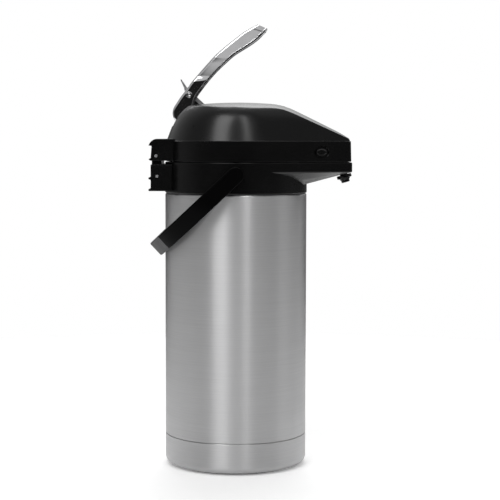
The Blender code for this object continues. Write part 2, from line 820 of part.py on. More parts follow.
def link_pins():
    bm = bmesh.new()
    add_cross_pin(bm, LINK_FOOT, 7.6, 1.8, 14)
    make("plunger_pin", bm, pin_steel(), pivot=joint_point(LINK_TOP))

    bm = bmesh.new()
    turn = Matrix.Translation(joint_point(LINK_TOP)) @ Matrix.Rotation(math.radians(90), 4, "X")
    half = LEVER_HALF + GAP
    head = [(0, half + 0.2), (1.3, half + 0.2), (1.7, half + 1.0), (2.8, half + 1.0), (3.4, half + 0.5),
            (3.4, half), (2.0, half)]
    tail = [(r, -z) for r, z in reversed(head)]
    add_revolve(bm, head + tail, SMALL, turn)
    make("link_rivet", bm, chrome(), pivot=joint_point(LINK_TOP))

    for name, centre, radius in (("fulcrum_pin", FULCRUM, 2.5), ("lock_keeper", KEEPER, 2.0)):
        bm = bmesh.new()
        add_cross_pin(bm, centre, SLOT_HALF + 2.2, radius, 16)
        make(name, bm, pin_steel())


# Back edge and open edge of the lever at each height, heel to tip, as (z, back x, open x)
LEVER_EDGES = [(387.6, -66.4, -50.6), (392.6, -70.1, -48.8), (398.2, -71.2, -48.4),
               (404.2, -70.0, -48.0), (410.4, -66.2, -46.4), (416.5, -62.2, -44.2), (423.2, -57.0, -39.6),
               (433.3, -49.6, -31.9), (443.4, -41.0, -23.2), (453.6, -32.0, -12.8), (463.6, -22.6, -1.2),
               (473.7, -11.0, 14.8), (480.5, -2.4, 24.2), (487.2, 6.2, 31.1), (490.5, 11.4, 34.2),
               (493.9, 17.3, 35.8), (497.3, 23.6, 34.2)]


def lever_ring(z, back_x, open_x, half, web):
    """A channel section: back web on the left, two flanges, open on the right."""
    depth = open_x - back_x
    corner = min(3.0, depth * 0.4)
    inner_corner = 1.2
    web = min(web, depth - 0.6)
    half_outer = [(depth, half), (corner, half)]
    for turn in (math.radians(30), math.radians(60)):
        half_outer.append((corner - corner * math.sin(turn), half - corner + corner * math.cos(turn)))
    half_outer += [(0, half - corner)]
    half_inner = [(depth, half - LEVER_WALL), (min(web + inner_corner, depth - 0.3), half - LEVER_WALL),
                  (web, half - LEVER_WALL - inner_corner)]
    section = half_outer + [(a, -y) for a, y in reversed(half_outer)]
    section += [(a, -y) for a, y in half_inner] + list(reversed(half_inner))
    return [(back_x + a, y, z) for a, y in section]


def lever():
    rings = []
    last = len(LEVER_EDGES) - 1
    for i, (z, back_x, open_x) in enumerate(LEVER_EDGES):
        spread = min(max((z - 425) / 35, 0), 1)
        half = LEVER_HALF + 2.0 * spread
        if i == last:
            half -= 1.6
        web = LEVER_WALL * 1.25 if i < last - 1 else open_x - back_x
        rings.append(lever_ring(z, back_x, open_x, half, web))
    bm = bmesh.new()
    add_loft(bm, rings)
    item = make("lever", bm, chrome(), pivot=joint_point(FULCRUM), sharp=40)
    bores = bmesh.new()
    add_cross_pin(bores, FULCRUM, 20, 2.5 + GAP)
    add_cross_pin(bores, LINK_TOP, 20, 2.0 + GAP)
    cut(item, bores, "bores")
    window = bmesh.new()
    add_prism(window, [(-68, 413), (-55.6, 413), (-48.8, 431), (-52, 438), (-68, 436)], -6.8, 6.8, "Y")
    cut(item, window, "tab_window")


def lock_catch():
    centre = Vector((LINK_TOP[0], 0, LINK_TOP[1]))
    tip = Vector((-62.2, 0, 436.1))
    up = (tip - centre).normalized()
    side = Vector((up.z, 0, -up.x))

    def at(along, across):
        point = centre + up * along + side * across
        return (point.x, point.z)

    def near(dx, dz):
        return (LINK_TOP[0] + dx, LINK_TOP[1] + dz)
    cheek = [at(9.5, 1.5), at(4, 3.8), near(4.0, 1.6), near(20.2, -13.4), near(20.2, -15.8),
             near(15.6, -21.6), near(14.0, -20.2), near(17.4, -15.8), near(3.0, -3.6), near(-3.2, -2.6),
             at(4, -3.4), at(9.5, -1.5)]
    bm = bmesh.new()
    for y in (4.0, -5.5):
        add_prism(bm, cheek, y, y + 1.5, "Y")
    item = make("lock_catch", bm, chrome(), pivot=joint_point(LINK_TOP))
    tab = bmesh.new()
    reach = (tip - centre).length
    outline = [at(6.4, 1.7), at(6.4, -1.7), at(reach - 1, -0.7), at(reach, -0.2), at(reach, 0.4),
               at(reach - 1, 0.7)]
    add_prism(tab, outline, -5.5, 5.5, "Y")
    join(item, tab, "tab")
    bore = bmesh.new()
    add_cross_pin(bore, LINK_TOP, 9, 2.0 + GAP)
    cut(item, bore, "bore")


# ---- bail handle ----

BAIL_MID = 88.0
BAIL_THICK = 6.0
BAIL_WIDE = 18.4
BAIL_ARM = 34.3


def bail():
    """A flat strap bent to a U; its arms end round on the pivots."""
    down = Vector((-math.cos(BAIL_ANGLE), 0, -math.sin(BAIL_ANGLE)))
    edge = Vector((math.sin(BAIL_ANGLE), 0, -math.cos(BAIL_ANGLE)))
    pivot = Vector((0, 0, BAIL_Z))
    bow = 22

    def ring(run, y, turn, half_wide):
        out = Vector((0, math.cos(turn), 0)) + down * math.sin(turn)
        centre = pivot + down * run + Vector((0, y, 0))
        half = BAIL_THICK / 2
        round_off = min(1.2, half_wide * 0.4)
        section = [(half, half_wide - round_off), (half - 1.0, half_wide), (-half + 1.0, half_wide),
                   (-half, half_wide - round_off), (-half, -half_wide + round_off), (-half + 1.0, -half_wide),
                   (half - 1.0, -half_wide), (half, -half_wide + round_off)]
        return [centre + out * a + edge * b for a, b in section]
    rings = []
    half_wide = BAIL_WIDE / 2
    for step in range(8):
        swing = math.radians(90 - 84 * (1 - step / 7))
        rings.append(ring(-half_wide * math.cos(swing), BAIL_MID, 0, half_wide * math.sin(swing)))
    for i in range(bow + 1):
        turn = math.pi * i / bow
        rings.append(ring(BAIL_ARM + BAIL_MID * math.sin(turn), BAIL_MID * math.cos(turn), turn, half_wide))
    for step in range(7, -1, -1):
        swing = math.radians(90 - 84 * (1 - step / 7))
        rings.append(ring(-half_wide * math.cos(swing), -BAIL_MID, math.pi, half_wide * math.sin(swing)))
    bm = bmesh.new()
    add_loft(bm, rings)
    item = make("bail", bm, bail_black(), pivot=(0, 0, BAIL_Z), sharp=35)
    sockets = bmesh.new()
    for side in (1, -1):
        add_rod(sockets, (0, side * 70, BAIL_Z), (0, side * 88.2, BAIL_Z), 5.0 + GAP, 24)
    cut(item, sockets, "sockets")


def build():
    clear_scene()
    for piece in (base_pad, base_cap, outer_shell, inner_liner, liner_support, neck_gasket, collar_shell,
                  inner_funnel, dip_tube, spout_duct, nozzle, hinge_bracket, hinge_pins, bail_pivots,
                  lid_shell, release_buttons, lid_base, lid_gasket, air_valve, lid_screws, bellows,
                  return_spring, plunger, link, link_pins, lever, lock_catch, bail):
        piece()


build()
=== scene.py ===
"""Looks of the thermal airpot: materials, fine detail, light and camera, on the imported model's frame."""
import json
import math

import bmesh
import bpy
from mathutils import Matrix, Vector


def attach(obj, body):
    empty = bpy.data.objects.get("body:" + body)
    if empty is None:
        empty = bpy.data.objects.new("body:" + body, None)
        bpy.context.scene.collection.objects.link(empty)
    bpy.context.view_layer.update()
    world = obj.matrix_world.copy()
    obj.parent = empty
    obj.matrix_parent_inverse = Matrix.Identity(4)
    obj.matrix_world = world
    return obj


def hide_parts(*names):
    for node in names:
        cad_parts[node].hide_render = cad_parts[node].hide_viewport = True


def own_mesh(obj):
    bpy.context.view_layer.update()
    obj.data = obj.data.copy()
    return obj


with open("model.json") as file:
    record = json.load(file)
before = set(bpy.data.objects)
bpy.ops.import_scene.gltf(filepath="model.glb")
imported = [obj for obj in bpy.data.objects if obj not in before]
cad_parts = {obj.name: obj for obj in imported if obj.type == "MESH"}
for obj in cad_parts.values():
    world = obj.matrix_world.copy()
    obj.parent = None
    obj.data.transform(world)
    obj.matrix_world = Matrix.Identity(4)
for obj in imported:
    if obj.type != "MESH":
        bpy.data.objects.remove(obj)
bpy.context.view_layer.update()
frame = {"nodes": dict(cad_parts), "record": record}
nodes = frame["nodes"]

MM = 0.001

# Driving dimensions in millimetres, as the CAD model has them; pairs are (x, z)
GAP = 0.35                    # clearance between pieces
BODY_R = 80.0
SHELL_WALL = 0.9
BASE_SEAM_Z = 35.6
COLLAR_Z = 308.9
PARTING_Z = 344.0
WAIST_Z = 366.9
NOSE_X = 130.0
NOSE_BAND_Z = 333.0
NOSE_RAKE = 0.028             # how much the nose's front leans back per millimetre of height
NOSE_CORNER_R = 5.0
SIDE_ANGLE = math.radians(65.4)   # direction square to the nose's left side wall
NECK_R = 66.0                 # hole through the collar's top
PAD_R = 70.4                  # recess for the base pad
LID_WALL = 2.6
HINGE = (-88.2, 350.6)
BRACKET_PIN = (-87.2, 328.1)
HINGE_PIN_R = 1.7
HINGE_HALF = 38.5
KNUCKLE_HALF = 31.0
HINGE_BACK = -94.3
FULCRUM = (-57.0, 394.0)
FULCRUM_R = 2.5
LINK_TOP = (-52.5, 418.8)
KEEPER = (-44.0, 391.0)
RIVET_R = 2.0                 # the link's rivet, and the lock keeper too
BAIL_Z = 330.0
BAIL_ANGLE = math.radians(43.3)   # how far below level the bail hangs at rest
BAIL_PIVOT_R = 5.0
BUTTON_X = 95.5
BUTTON_Z = 355.0
LEVER_HALF = 11.0
LEVER_WALL = 1.9
SLOT_HALF = 14.0
CHEEK = 3.6
PUMP_FLOOR = 329.3 + 2.4      # top of the lid's base plate inside the pump
FLANGE_Z = PARTING_Z + 3.0
PLUNGER_Z = 357.6


def ease_in(value, start, length):
    """0 up to start, then rising evenly to 1 over a length."""
    return min(max((value - start) / length, 0), 1)


def new_node(tree, kind, **settings):
    made = tree.nodes.new(kind)
    for key, value in settings.items():
        setattr(made, key, value)
    return made


# ---- materials ----

class Finish:
    """A material under construction, with short calls for the node patterns used here."""

    def __init__(self, name, colour, roughness, metallic=0.0, specular=0.5):
        self.material = bpy.data.materials.new(name)
        self.material.use_nodes = True
        self.tree = self.material.node_tree
        self.shader = self.tree.nodes["Principled BSDF"]
        self.shader.inputs["Base Color"].default_value = (*colour, 1.0)
        self.shader.inputs["Roughness"].default_value = roughness
        self.shader.inputs["Metallic"].default_value = metallic
        self.shader.inputs["Specular IOR Level"].default_value = specular
        self.height = None

    def node(self, kind, **settings):
        return new_node(self.tree, kind, **settings)

    def wire(self, source, target):
        self.tree.links.new(source, target)

    def noise(self, stretch, scale, detail=3.0, roughness=0.55):
        """Noise in object space; stretch squeezes or draws it out along each axis."""
        place = self.node("ShaderNodeTexCoord")
        mapping = self.node("ShaderNodeMapping")
        mapping.inputs["Scale"].default_value = stretch
        texture = self.node("ShaderNodeTexNoise")
        texture.inputs["Scale"].default_value = scale
        texture.inputs["Detail"].default_value = detail
        texture.inputs["Roughness"].default_value = roughness
        self.wire(place.outputs["Object"], mapping.inputs["Vector"])
        self.wire(mapping.outputs["Vector"], texture.inputs["Vector"])
        return texture.outputs["Fac"]

    def ramp(self, source, low, high, start=0.3, end=0.7):
        """Colours from low to high as the source goes from start to end."""
        made = self.node("ShaderNodeValToRGB")
        made.color_ramp.elements[0].position = start
        made.color_ramp.elements[1].position = end
        made.color_ramp.elements[0].color = (*low, 1.0)
        made.color_ramp.elements[1].color = (*high, 1.0)
        self.wire(source, made.inputs["Fac"])
        return made.outputs["Color"]

    def span(self, source, low, high, start=0.3, end=0.7):
        """A number from low to high as the source goes from start to end."""
        made = self.node("ShaderNodeMapRange")
        made.inputs["From Min"].default_value = start
        made.inputs["From Max"].default_value = end
        made.inputs["To Min"].default_value = low
        made.inputs["To Max"].default_value = high
        self.wire(source, made.inputs["Value"])
        return made.outputs["Result"]

    def colour_from(self, source, low, high, start=0.3, end=0.7):
        self.wire(self.ramp(source, low, high, start, end), self.shader.inputs["Base Color"])

    def roughness_from(self, source, low, high, start=0.3, end=0.7):
        self.wire(self.span(source, low, high, start, end), self.shader.inputs["Roughness"])

    def bump_from(self, source, strength, depth):
        """Adds a layer of surface relief; layers chain."""
        made = self.node("ShaderNodeBump")
        made.inputs["Strength"].default_value = strength
        made.inputs["Distance"].default_value = depth
        self.wire(source, made.inputs["Height"])
        if self.height is not None:
            self.wire(self.height, made.inputs["Normal"])
        self.height = made.outputs["Normal"]
        self.wire(self.height, self.shader.inputs["Normal"])

    def brushed_round(self, amount):
        """Anisotropy of a surface brushed round the Z axis."""
        tangent = self.node("ShaderNodeTangent", direction_type="RADIAL", axis="Z")
        self.wire(tangent.outputs["Tangent"], self.shader.inputs["Tangent"])
        self.shader.inputs["Anisotropic"].default_value = amount
        self.shader.inputs["Anisotropic Rotation"].default_value = 0.25


def brushed_steel():
    """Stainless sheet brushed round the flask: long fine streaks, with softer bands between."""
    finish = Finish("brushed_stainless", (0.58, 0.58, 0.59), 0.3, metallic=1.0)
    streaks = finish.noise((14, 14, 2600), 1.0, detail=4.0, roughness=0.7)
    bands = finish.noise((3, 3, 130), 1.0, detail=2.0)
    finish.colour_from(streaks, (0.60, 0.60, 0.605), (0.70, 0.70, 0.705), 0.25, 0.75)
    finish.roughness_from(bands, 0.37, 0.42)
    finish.bump_from(streaks, 0.05, 0.00004)
    finish.brushed_round(0.96)
    return finish.material


def liner_steel():
    """Electropolished steel with faint spinning marks."""
    finish = Finish("polished_liner", (0.66, 0.66, 0.67), 0.2, metallic=1.0)
    rings = finish.noise((5, 5, 420), 1.0, detail=3.0)
    finish.colour_from(rings, (0.60, 0.60, 0.61), (0.70, 0.70, 0.71))
    finish.roughness_from(rings, 0.14, 0.26)
    finish.bump_from(rings, 0.08, 0.0001)
    return finish.material


def lever_chrome():
    """Polished plate, with the faint unevenness that hands and polishing leave."""
    finish = Finish("lever_chrome", (0.80, 0.80, 0.81), 0.08, metallic=1.0)
    smear = finish.noise((1, 1, 1), 45.0, detail=3.0)
    ripple = finish.noise((1, 1, 1), 160.0, detail=1.0)
    finish.colour_from(smear, (0.74, 0.74, 0.75), (0.84, 0.84, 0.85))
    finish.roughness_from(smear, 0.05, 0.13)
    finish.bump_from(ripple, 0.04, 0.0001)
    return finish.material


def satin_chrome():
    """Tumbled plate on the small pressed parts."""
    finish = Finish("satin_chrome", (0.70, 0.70, 0.71), 0.36, metallic=1.0)
    smear = finish.noise((1, 1, 1), 300.0, detail=2.0)
    finish.colour_from(smear, (0.64, 0.64, 0.65), (0.75, 0.75, 0.76))
    finish.roughness_from(smear, 0.32, 0.42)
    return finish.material


def pin_steel():
    finish = Finish("drawn_steel", (0.62, 0.62, 0.63), 0.4, metallic=1.0)
    marks = finish.noise((1, 1, 1), 900.0, detail=2.0)
    finish.colour_from(marks, (0.55, 0.55, 0.56), (0.68, 0.68, 0.69))
    finish.roughness_from(marks, 0.34, 0.46)
    return finish.material


def moulded_black(name, colour, rough_low, rough_high, grain, specular):
    """Moulded plastic: a fine spark-eroded grain over slow changes in sheen."""
    finish = Finish(name, colour, rough_low, specular=specular)
    slow = finish.noise((1, 1, 1), 18.0, detail=2.0)
    fine = finish.noise((1, 1, 1), 2600.0, detail=2.0)
    lighter = tuple(c * 1.35 + 0.0002 for c in colour)
    finish.colour_from(slow, colour, lighter)
    finish.roughness_from(slow, rough_low, rough_high)
    finish.bump_from(fine, grain, 0.00008)
    return finish.material


def inner_plastic():
    finish = Finish("inner_plastic", (0.045, 0.046, 0.05), 0.5)
    slow = finish.noise((1, 1, 1), 30.0, detail=2.0)
    fine = finish.noise((1, 1, 1), 1800.0, detail=2.0)
    finish.colour_from(slow, (0.040, 0.041, 0.044), (0.058, 0.059, 0.063))
    finish.roughness_from(slow, 0.42, 0.55)
    finish.bump_from(fine, 0.08, 0.00008)
    return finish.material


def silicone():
    """Milky translucent rubber, a little dusty."""
    finish = Finish("silicone", (0.72, 0.72, 0.70), 0.5, specular=0.4)
    cloud = finish.noise((1, 1, 1), 60.0, detail=3.0)
    fine = finish.noise((1, 1, 1), 2000.0, detail=2.0)
    finish.colour_from(cloud, (0.66, 0.66, 0.63), (0.77, 0.77, 0.75))
    finish.roughness_from(cloud, 0.42, 0.6)
    finish.bump_from(fine, 0.06, 0.00008)
    finish.shader.inputs["Subsurface Weight"].default_value = 0.15
    finish.shader.inputs["Subsurface Radius"].default_value = (0.004, 0.004, 0.003)
    return finish.material


def foot_rubber():
    finish = Finish("foot_rubber", (0.02, 0.02, 0.021), 0.8, specular=0.3)
    slow = finish.noise((1, 1, 1), 40.0, detail=3.0)
    fine = finish.noise((1, 1, 1), 1400.0, detail=3.0)
    finish.colour_from(slow, (0.016, 0.016, 0.017), (0.028, 0.028, 0.029))
    finish.roughness_from(slow, 0.72, 0.9)
    finish.bump_from(fine, 0.2, 0.0001)
    return finish.material


# By material slot, and two more: satin_chrome for the lock catch, and one for the bail's ribbed grip, whose
# grey colour is a painted highlight
FINISHES = {
    "brushed_steel": brushed_steel(),
    "liner_steel": liner_steel(),
    "lever_chrome": lever_chrome(),
    "satin_chrome": satin_chrome(),
    "pin_steel": pin_steel(),
    "black_plastic": moulded_black("satin_black", (0.0012, 0.0012, 0.0013), 0.23, 0.28, 0.08, 0.38),
    "bail_plastic": moulded_black("bail_black", (0.0009, 0.0009, 0.0010), 0.30, 0.38, 0.12, 0.05),
    # the grey base colour of the bail's grip is a painted highlight on the outer face of the bow
    "bail_grip_painted_highlight": moulded_black("grip_painted_highlight", (0.075, 0.075, 0.077), 0.55, 0.65, 0.2, 0.5),
    "inner_plastic": inner_plastic(),
    "silicone": silicone(),
    "foot_rubber": foot_rubber(),
}


def smoothing_group():
    """Geometry nodes that weld split corners and shade smooth, except over edges past an angle."""
    group = bpy.data.node_groups.new("smooth_up_to_angle", "GeometryNodeTree")
    group.interface.new_socket("Geometry", in_out="INPUT", socket_type="NodeSocketGeometry")
    group.interface.new_socket("Angle", in_out="INPUT", socket_type="NodeSocketFloat")
    group.interface.new_socket("Geometry", in_out="OUTPUT", socket_type="NodeSocketGeometry")
    start = group.nodes.new("NodeGroupInput")
    plain = group.nodes.new("GeometryNodeRemoveAttribute")
    plain.inputs["Name"].default_value = "custom_normal"
    weld = group.nodes.new("GeometryNodeMergeByDistance")
    weld.inputs["Distance"].default_value = 0.00002
    faces = group.nodes.new("GeometryNodeSetShadeSmooth")
    fold = group.nodes.new("GeometryNodeInputMeshEdgeAngle")
    steep = group.nodes.new("FunctionNodeCompare")
    edges = group.nodes.new("GeometryNodeSetShadeSmooth")
    edges.domain = "EDGE"
    edges.inputs["Shade Smooth"].default_value = False
    end = group.nodes.new("NodeGroupOutput")
    group.links.new(start.outputs["Geometry"], plain.inputs["Geometry"])
    group.links.new(plain.outputs["Geometry"], weld.inputs["Geometry"])
    group.links.new(weld.outputs["Geometry"], faces.inputs["Geometry"])
    group.links.new(faces.outputs["Geometry"], edges.inputs["Geometry"])
    group.links.new(fold.outputs["Unsigned Angle"], steep.inputs["A"])
    group.links.new(start.outputs["Angle"], steep.inputs["B"])
    group.links.new(steep.outputs["Result"], edges.inputs["Selection"])
    group.links.new(edges.outputs["Geometry"], end.inputs["Geometry"])
    return group


SMOOTHING = smoothing_group()


def shade_smooth(item, degrees):
    step = item.modifiers.new("smooth", "NODES")
    step.node_group = SMOOTHING
    step["Socket_1"] = math.radians(degrees)


def dress_cad_nodes():
    """Gives every CAD node the material of its slot, and smooth shading on its round faces."""
    for entry in frame["record"]["subparts"]:
        node = nodes[entry["node"]]
        node.data.materials.clear()
        node.data.materials.append(FINISHES[entry["material_slot"]])
        shade_smooth(node, 32)
    nodes["lock_catch"].data.materials[0] = FINISHES["satin_chrome"]


dress_cad_nodes()


# ---- mesh helpers: all take millimetres in the assembled place ----

def add_loft(bm, rings, close_ends=True):
    """Skin a list of equal-length closed rings of points."""
    rows = [[bm.verts.new(point) for point in ring] for ring in rings]
    count = len(rows[0])
    for lower, upper in zip(rows, rows[1:]):
        for i in range(count):
            j = (i + 1) % count
            bm.faces.new((lower[i], lower[j], upper[j], upper[i]))
    if close_ends:
        bm.faces.new(list(reversed(rows[0])))
        bm.faces.new(rows[-1])


def add_revolve(bm, profile, segments, place=None):
    """Turn a closed (radius, height) profile about Z; points on the axis become one vertex."""
    place = place or Matrix.Identity(4)
    rings = []
    for radius, height in profile:
        if radius < 1e-6:
            rings.append([bm.verts.new(place @ Vector((0, 0, height)))])
            continue
        ring = []
        for i in range(segments):
            angle = 2 * math.pi * i / segments
            point = Vector((radius * math.cos(angle), radius * math.sin(angle), height))
            ring.append(bm.verts.new(place @ point))
        rings.append(ring)
    for lower, upper in zip(rings, rings[1:] + rings[:1]):
        if len(lower) == 1 and len(upper) == 1:
            continue
        for i in range(segments):
            j = (i + 1) % segments
            corners = [lower[i % len(lower)], lower[j % len(lower)], upper[j % len(upper)],
                       upper[i % len(upper)]]
            bm.faces.new(list(dict.fromkeys(corners)))


def add_prism(bm, outline, low, high):
    """Extrude a closed (x, z) outline along Y."""
    add_loft(bm, [[(x, level, z) for x, z in outline] for level in (low, high)])


def add_rod(bm, start, end, radius, segments=32):
    start = Vector(start)
    along = Vector(end) - start
    place = Matrix.Translation(start) @ along.to_track_quat("Z", "Y").to_matrix().to_4x4()
    add_revolve(bm, [(0, 0), (radius, 0), (radius, along.length), (0, along.length)], segments, place)


def add_cross_pin(bm, centre, half, radius, segments=32):
    add_rod(bm, (centre[0], -half, centre[1]), (centre[0], half, centre[1]), radius, segments)


def drawn(add, *shape, **options):
    """A new mesh holding one shape."""
    bm = bmesh.new()
    add(bm, *shape, **options)
    return bm


def arc(centre, radius, start, end, steps):
    """Points on an arc from start to end degrees."""
    points = []
    for i in range(steps + 1):
        angle = math.radians(start + (end - start) * i / steps)
        points.append((centre[0] + radius * math.cos(angle), centre[1] + radius * math.sin(angle)))
    return points


def smooth_rows(rows, steps):
    """A finer list on a Catmull-Rom curve through rows of numbers."""
    finer = []
    for i in range(len(rows) - 1):
        around = [rows[max(i - 1, 0)], rows[i], rows[i + 1], rows[min(i + 2, len(rows) - 1)]]
        for k in range(steps):
            t = k / steps
            weights = (-0.5 * t + t * t - 0.5 * t ** 3, 1 - 2.5 * t * t + 1.5 * t ** 3,
                       0.5 * t + 2 * t * t - 1.5 * t ** 3, -0.5 * t * t + 0.5 * t ** 3)
            finer.append(tuple(sum(w * value for w, value in zip(weights, column))
                               for column in zip(*around)))
    finer.append(rows[-1])
    return finer


def solid(name, bm):
    """A mesh in millimetres as an object in metres."""
    bmesh.ops.recalc_face_normals(bm, faces=bm.faces)
    bmesh.ops.scale(bm, vec=(MM, MM, MM), verts=bm.verts)
    mesh = bpy.data.meshes.new(name)
    bm.to_mesh(mesh)
    bm.free()
    item = bpy.data.objects.new(name, mesh)
    bpy.context.scene.collection.objects.link(item)
    return item


def settle(item):
    """Makes what the modifiers give the item's own mesh."""
    graph = bpy.context.evaluated_depsgraph_get()
    done = bpy.data.meshes.new_from_object(item.evaluated_get(graph))
    item.modifiers.clear()
    item.data = done


def soften(item, width, segments=2, degrees=35):
    """Rounds every edge sharper than an angle."""
    step = item.modifiers.new("soften", "BEVEL")
    step.width = width * MM
    step.segments = segments
    step.limit_method = "ANGLE"
    step.angle_limit = math.radians(degrees)
    settle(item)


def combine(item, bm, operation, rounding=0.0):
    tool = solid("tool", bm)
    if rounding:
        soften(tool, rounding)
    step = item.modifiers.new("combine", "BOOLEAN")
    step.operation = operation
    step.solver = "EXACT"
    step.object = tool
    settle(item)
    bpy.data.objects.remove(tool)


def cut(item, bm, rounding=0.0):
    combine(item, bm, "DIFFERENCE", rounding)


def join(item, bm, rounding=0.0):
    combine(item, bm, "UNION", rounding)


def show(item, slot, body, *stands_for, sharp=32):
    """Finishes a piece: its material, smooth shading, the body it rides on and the nodes it stands for."""
    item.data.materials.clear()
    item.data.materials.append(FINISHES[slot])
    item.data.shade_smooth()
    item.data.set_sharp_from_angle(angle=math.radians(sharp))
    even = item.modifiers.new("even_normals", "WEIGHTED_NORMAL")
    even.keep_sharp = True
    settle(item)
    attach(item, body)
    if stands_for:
        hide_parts(*stands_for)
    return item


# ---- flask ----

ROUND = 160                   # segments of the large turned pieces
BASE_BEND = 8.0
BASE_WALL = 1.4
BASE_BOTTOM = 1.5
SPIGOT_TOP = 43.0             # how high the base cup reaches up inside the shell


def flask_steel():
    """The brushed shell and the base cup, with rolled edges at the seam between them."""
    inner = BODY_R - SHELL_WALL
    bottom = BASE_SEAM_Z + 0.4
    top = COLLAR_Z - GAP
    profile = [(inner, bottom)] + arc((BODY_R - 0.8, bottom + 0.8), 0.8, -90, 0, 5)
    profile += arc((BODY_R - 2, top - 2), 2.0, 0, 90, 6)
    profile += [(50, top), (50, top - 1.4), (inner - 1, top - 1.4), (inner, top - 2.6)]
    shell = solid("flask_shell", drawn(add_revolve, profile, ROUND))
    show(shell, "brushed_steel", "root", "outer_shell", sharp=50)

    spigot = inner - GAP
    bend = (BODY_R - BASE_BEND, BASE_BOTTOM + BASE_BEND)
    profile = [(0, 3.4), (PAD_R, 3.4), (PAD_R, BASE_BOTTOM)] + arc(bend, BASE_BEND, -90, 0, 14)
    profile += arc((BODY_R - 0.8, BASE_SEAM_Z - 0.9), 0.8, 0, 90, 5)
    profile += [(spigot, BASE_SEAM_Z - 0.1), (spigot, SPIGOT_TOP), (spigot - BASE_WALL, SPIGOT_TOP)]
    profile += arc(bend, BASE_BEND - BASE_WALL, 0, -55, 6) + [(PAD_R, 5.4), (0, 5.4)]
    cup = solid("base_cup", drawn(add_revolve, profile, ROUND))
    show(cup, "brushed_steel", "root", "base_cap", sharp=50)


# ---- the nose's plan outline, shared by the collar and the lid ----

def plan_outline(inset=0.0, height=NOSE_BAND_Z, arc_steps=84, side_steps=12):
    """Round body with near-tangent sides running out to the nose, moved in by inset."""
    normal = (math.cos(SIDE_ANGLE), math.sin(SIDE_ANGLE))
    corner = max(NOSE_CORNER_R - inset, 1.0)
    front = NOSE_X - NOSE_RAKE * (height - NOSE_BAND_Z) - inset
    centre_x = front - corner
    centre_y = (BODY_R - inset - corner - normal[0] * centre_x) / normal[1]
    start = math.degrees(SIDE_ANGLE)
    left = arc((centre_x, centre_y), corner, 0, start, 8)
    round_side = arc((0, 0), BODY_R - inset, start, 360 - start, arc_steps)
    side = []
    for i in range(1, side_steps):
        t = i / side_steps
        side.append((left[-1][0] + (round_side[0][0] - left[-1][0]) * t,
                     left[-1][1] + (round_side[0][1] - left[-1][1]) * t))
    mirrored_side = [(x, -y) for x, y in reversed(side)]
    right = [(x, -y) for x, y in reversed(left)]
    return left + side + round_side + mirrored_side + right


SIDE_OUT = Vector((math.cos(SIDE_ANGLE), math.sin(SIDE_ANGLE), 0))
SIDE_ALONG = Vector((math.sin(SIDE_ANGLE), -math.cos(SIDE_ANGLE), 0))


def side_point(x, height, outward=0.0):
    """A point on the nose's side wall, moved outward along its normal."""
    y = (BODY_R - math.cos(SIDE_ANGLE) * x) / math.sin(SIDE_ANGLE)
    return Vector((x + outward * math.cos(SIDE_ANGLE), y + outward * math.sin(SIDE_ANGLE), height))


# ---- collar and the lower half of the nose ----

NOZZLE_TILT = math.radians(16)
NOZZLE_TOP = Vector((122.0, 0, 329.9))
NOZZLE_BORE_R = 3.0
COLLAR_WALL = 3.0
COLLAR_TOP = PARTING_Z - 0.5
SHELF = COLLAR_TOP - 2.6      # underside of the collar's top


def along_nozzle(distance):
    return NOZZLE_TOP + Vector((math.sin(NOZZLE_TILT), 0, -math.cos(NOZZLE_TILT))) * distance


def keel_z(x):
    """Height of the underside of the nose, rising towards the spout."""
    return 319.6 + 0.258 * (x - 79.5)


def nose_block(bm, shrink, root_x, top, band, lift):
    """The lower nose: a straight band with a rounded top edge, then flanks leaning in to a rising keel."""
    def outline_at(inset):
        near_side = [p for p in plan_outline(inset) if p[1] > 0 and p[0] > max(root_x, 34)]
        root_y = (BODY_R - inset - math.cos(SIDE_ANGLE) * root_x) / math.sin(SIDE_ANGLE) - 1.5
        half = near_side + [(root_x, root_y)]
        return half + [(x, -y) for x, y in reversed(half)]
    outline = outline_at(shrink)
    rings = []
    for share in (0.0, 0.5, 0.9, 0.97):
        ring = []
        for x, y in outline:
            keel_x = min(x, 116 - shrink)
            low = Vector((keel_x, y * 0.5, keel_z(keel_x) + lift))
            ring.append(low.lerp(Vector((x, y, band - 0.3)), share))
        rings.append(ring)
    rings.append([(x, y, band + 0.5) for x, y in outline])
    edge = outline if shrink else outline_at(0.6)
    rings.append([(x, y, top - 0.6) for x, y in outline])
    rings.append([(x, y, top) for x, y in edge])
    add_loft(bm, rings)


def collar():
    """The ring that joins flask and lid, with the lower nose, its channel and the outlet."""
    edge = 1.4
    inner = BODY_R - COLLAR_WALL
    profile = [(inner, COLLAR_Z), (BODY_R - edge + 0.3, COLLAR_Z)]
    profile += arc((BODY_R - edge + 0.3, COLLAR_Z + edge), edge, -70, 0, 8)
    profile += arc((BODY_R - 0.6, COLLAR_TOP - 0.6), 0.6, 0, 90, 4)
    profile += [(NECK_R, COLLAR_TOP), (NECK_R, SHELF), (inner, SHELF)]
    item = solid("collar_body", drawn(add_revolve, profile, ROUND))
    join(item, drawn(nose_block, shrink=0.0, root_x=36, top=COLLAR_TOP, band=NOSE_BAND_Z, lift=0.0))
    cut(item, drawn(nose_block, shrink=COLLAR_WALL, root_x=70, top=COLLAR_TOP + 8,
                    band=NOSE_BAND_Z + 2, lift=3.2))
    well = [(0, 300), (inner, 300), (inner, SHELF), (NECK_R, SHELF), (NECK_R, 360), (0, 360)]
    cut(item, drawn(add_revolve, well, ROUND))
    cut(item, drawn(add_rod, along_nozzle(-9), along_nozzle(2), NOZZLE_BORE_R))
    show(item, "black_plastic", "root", "collar_shell", sharp=28)


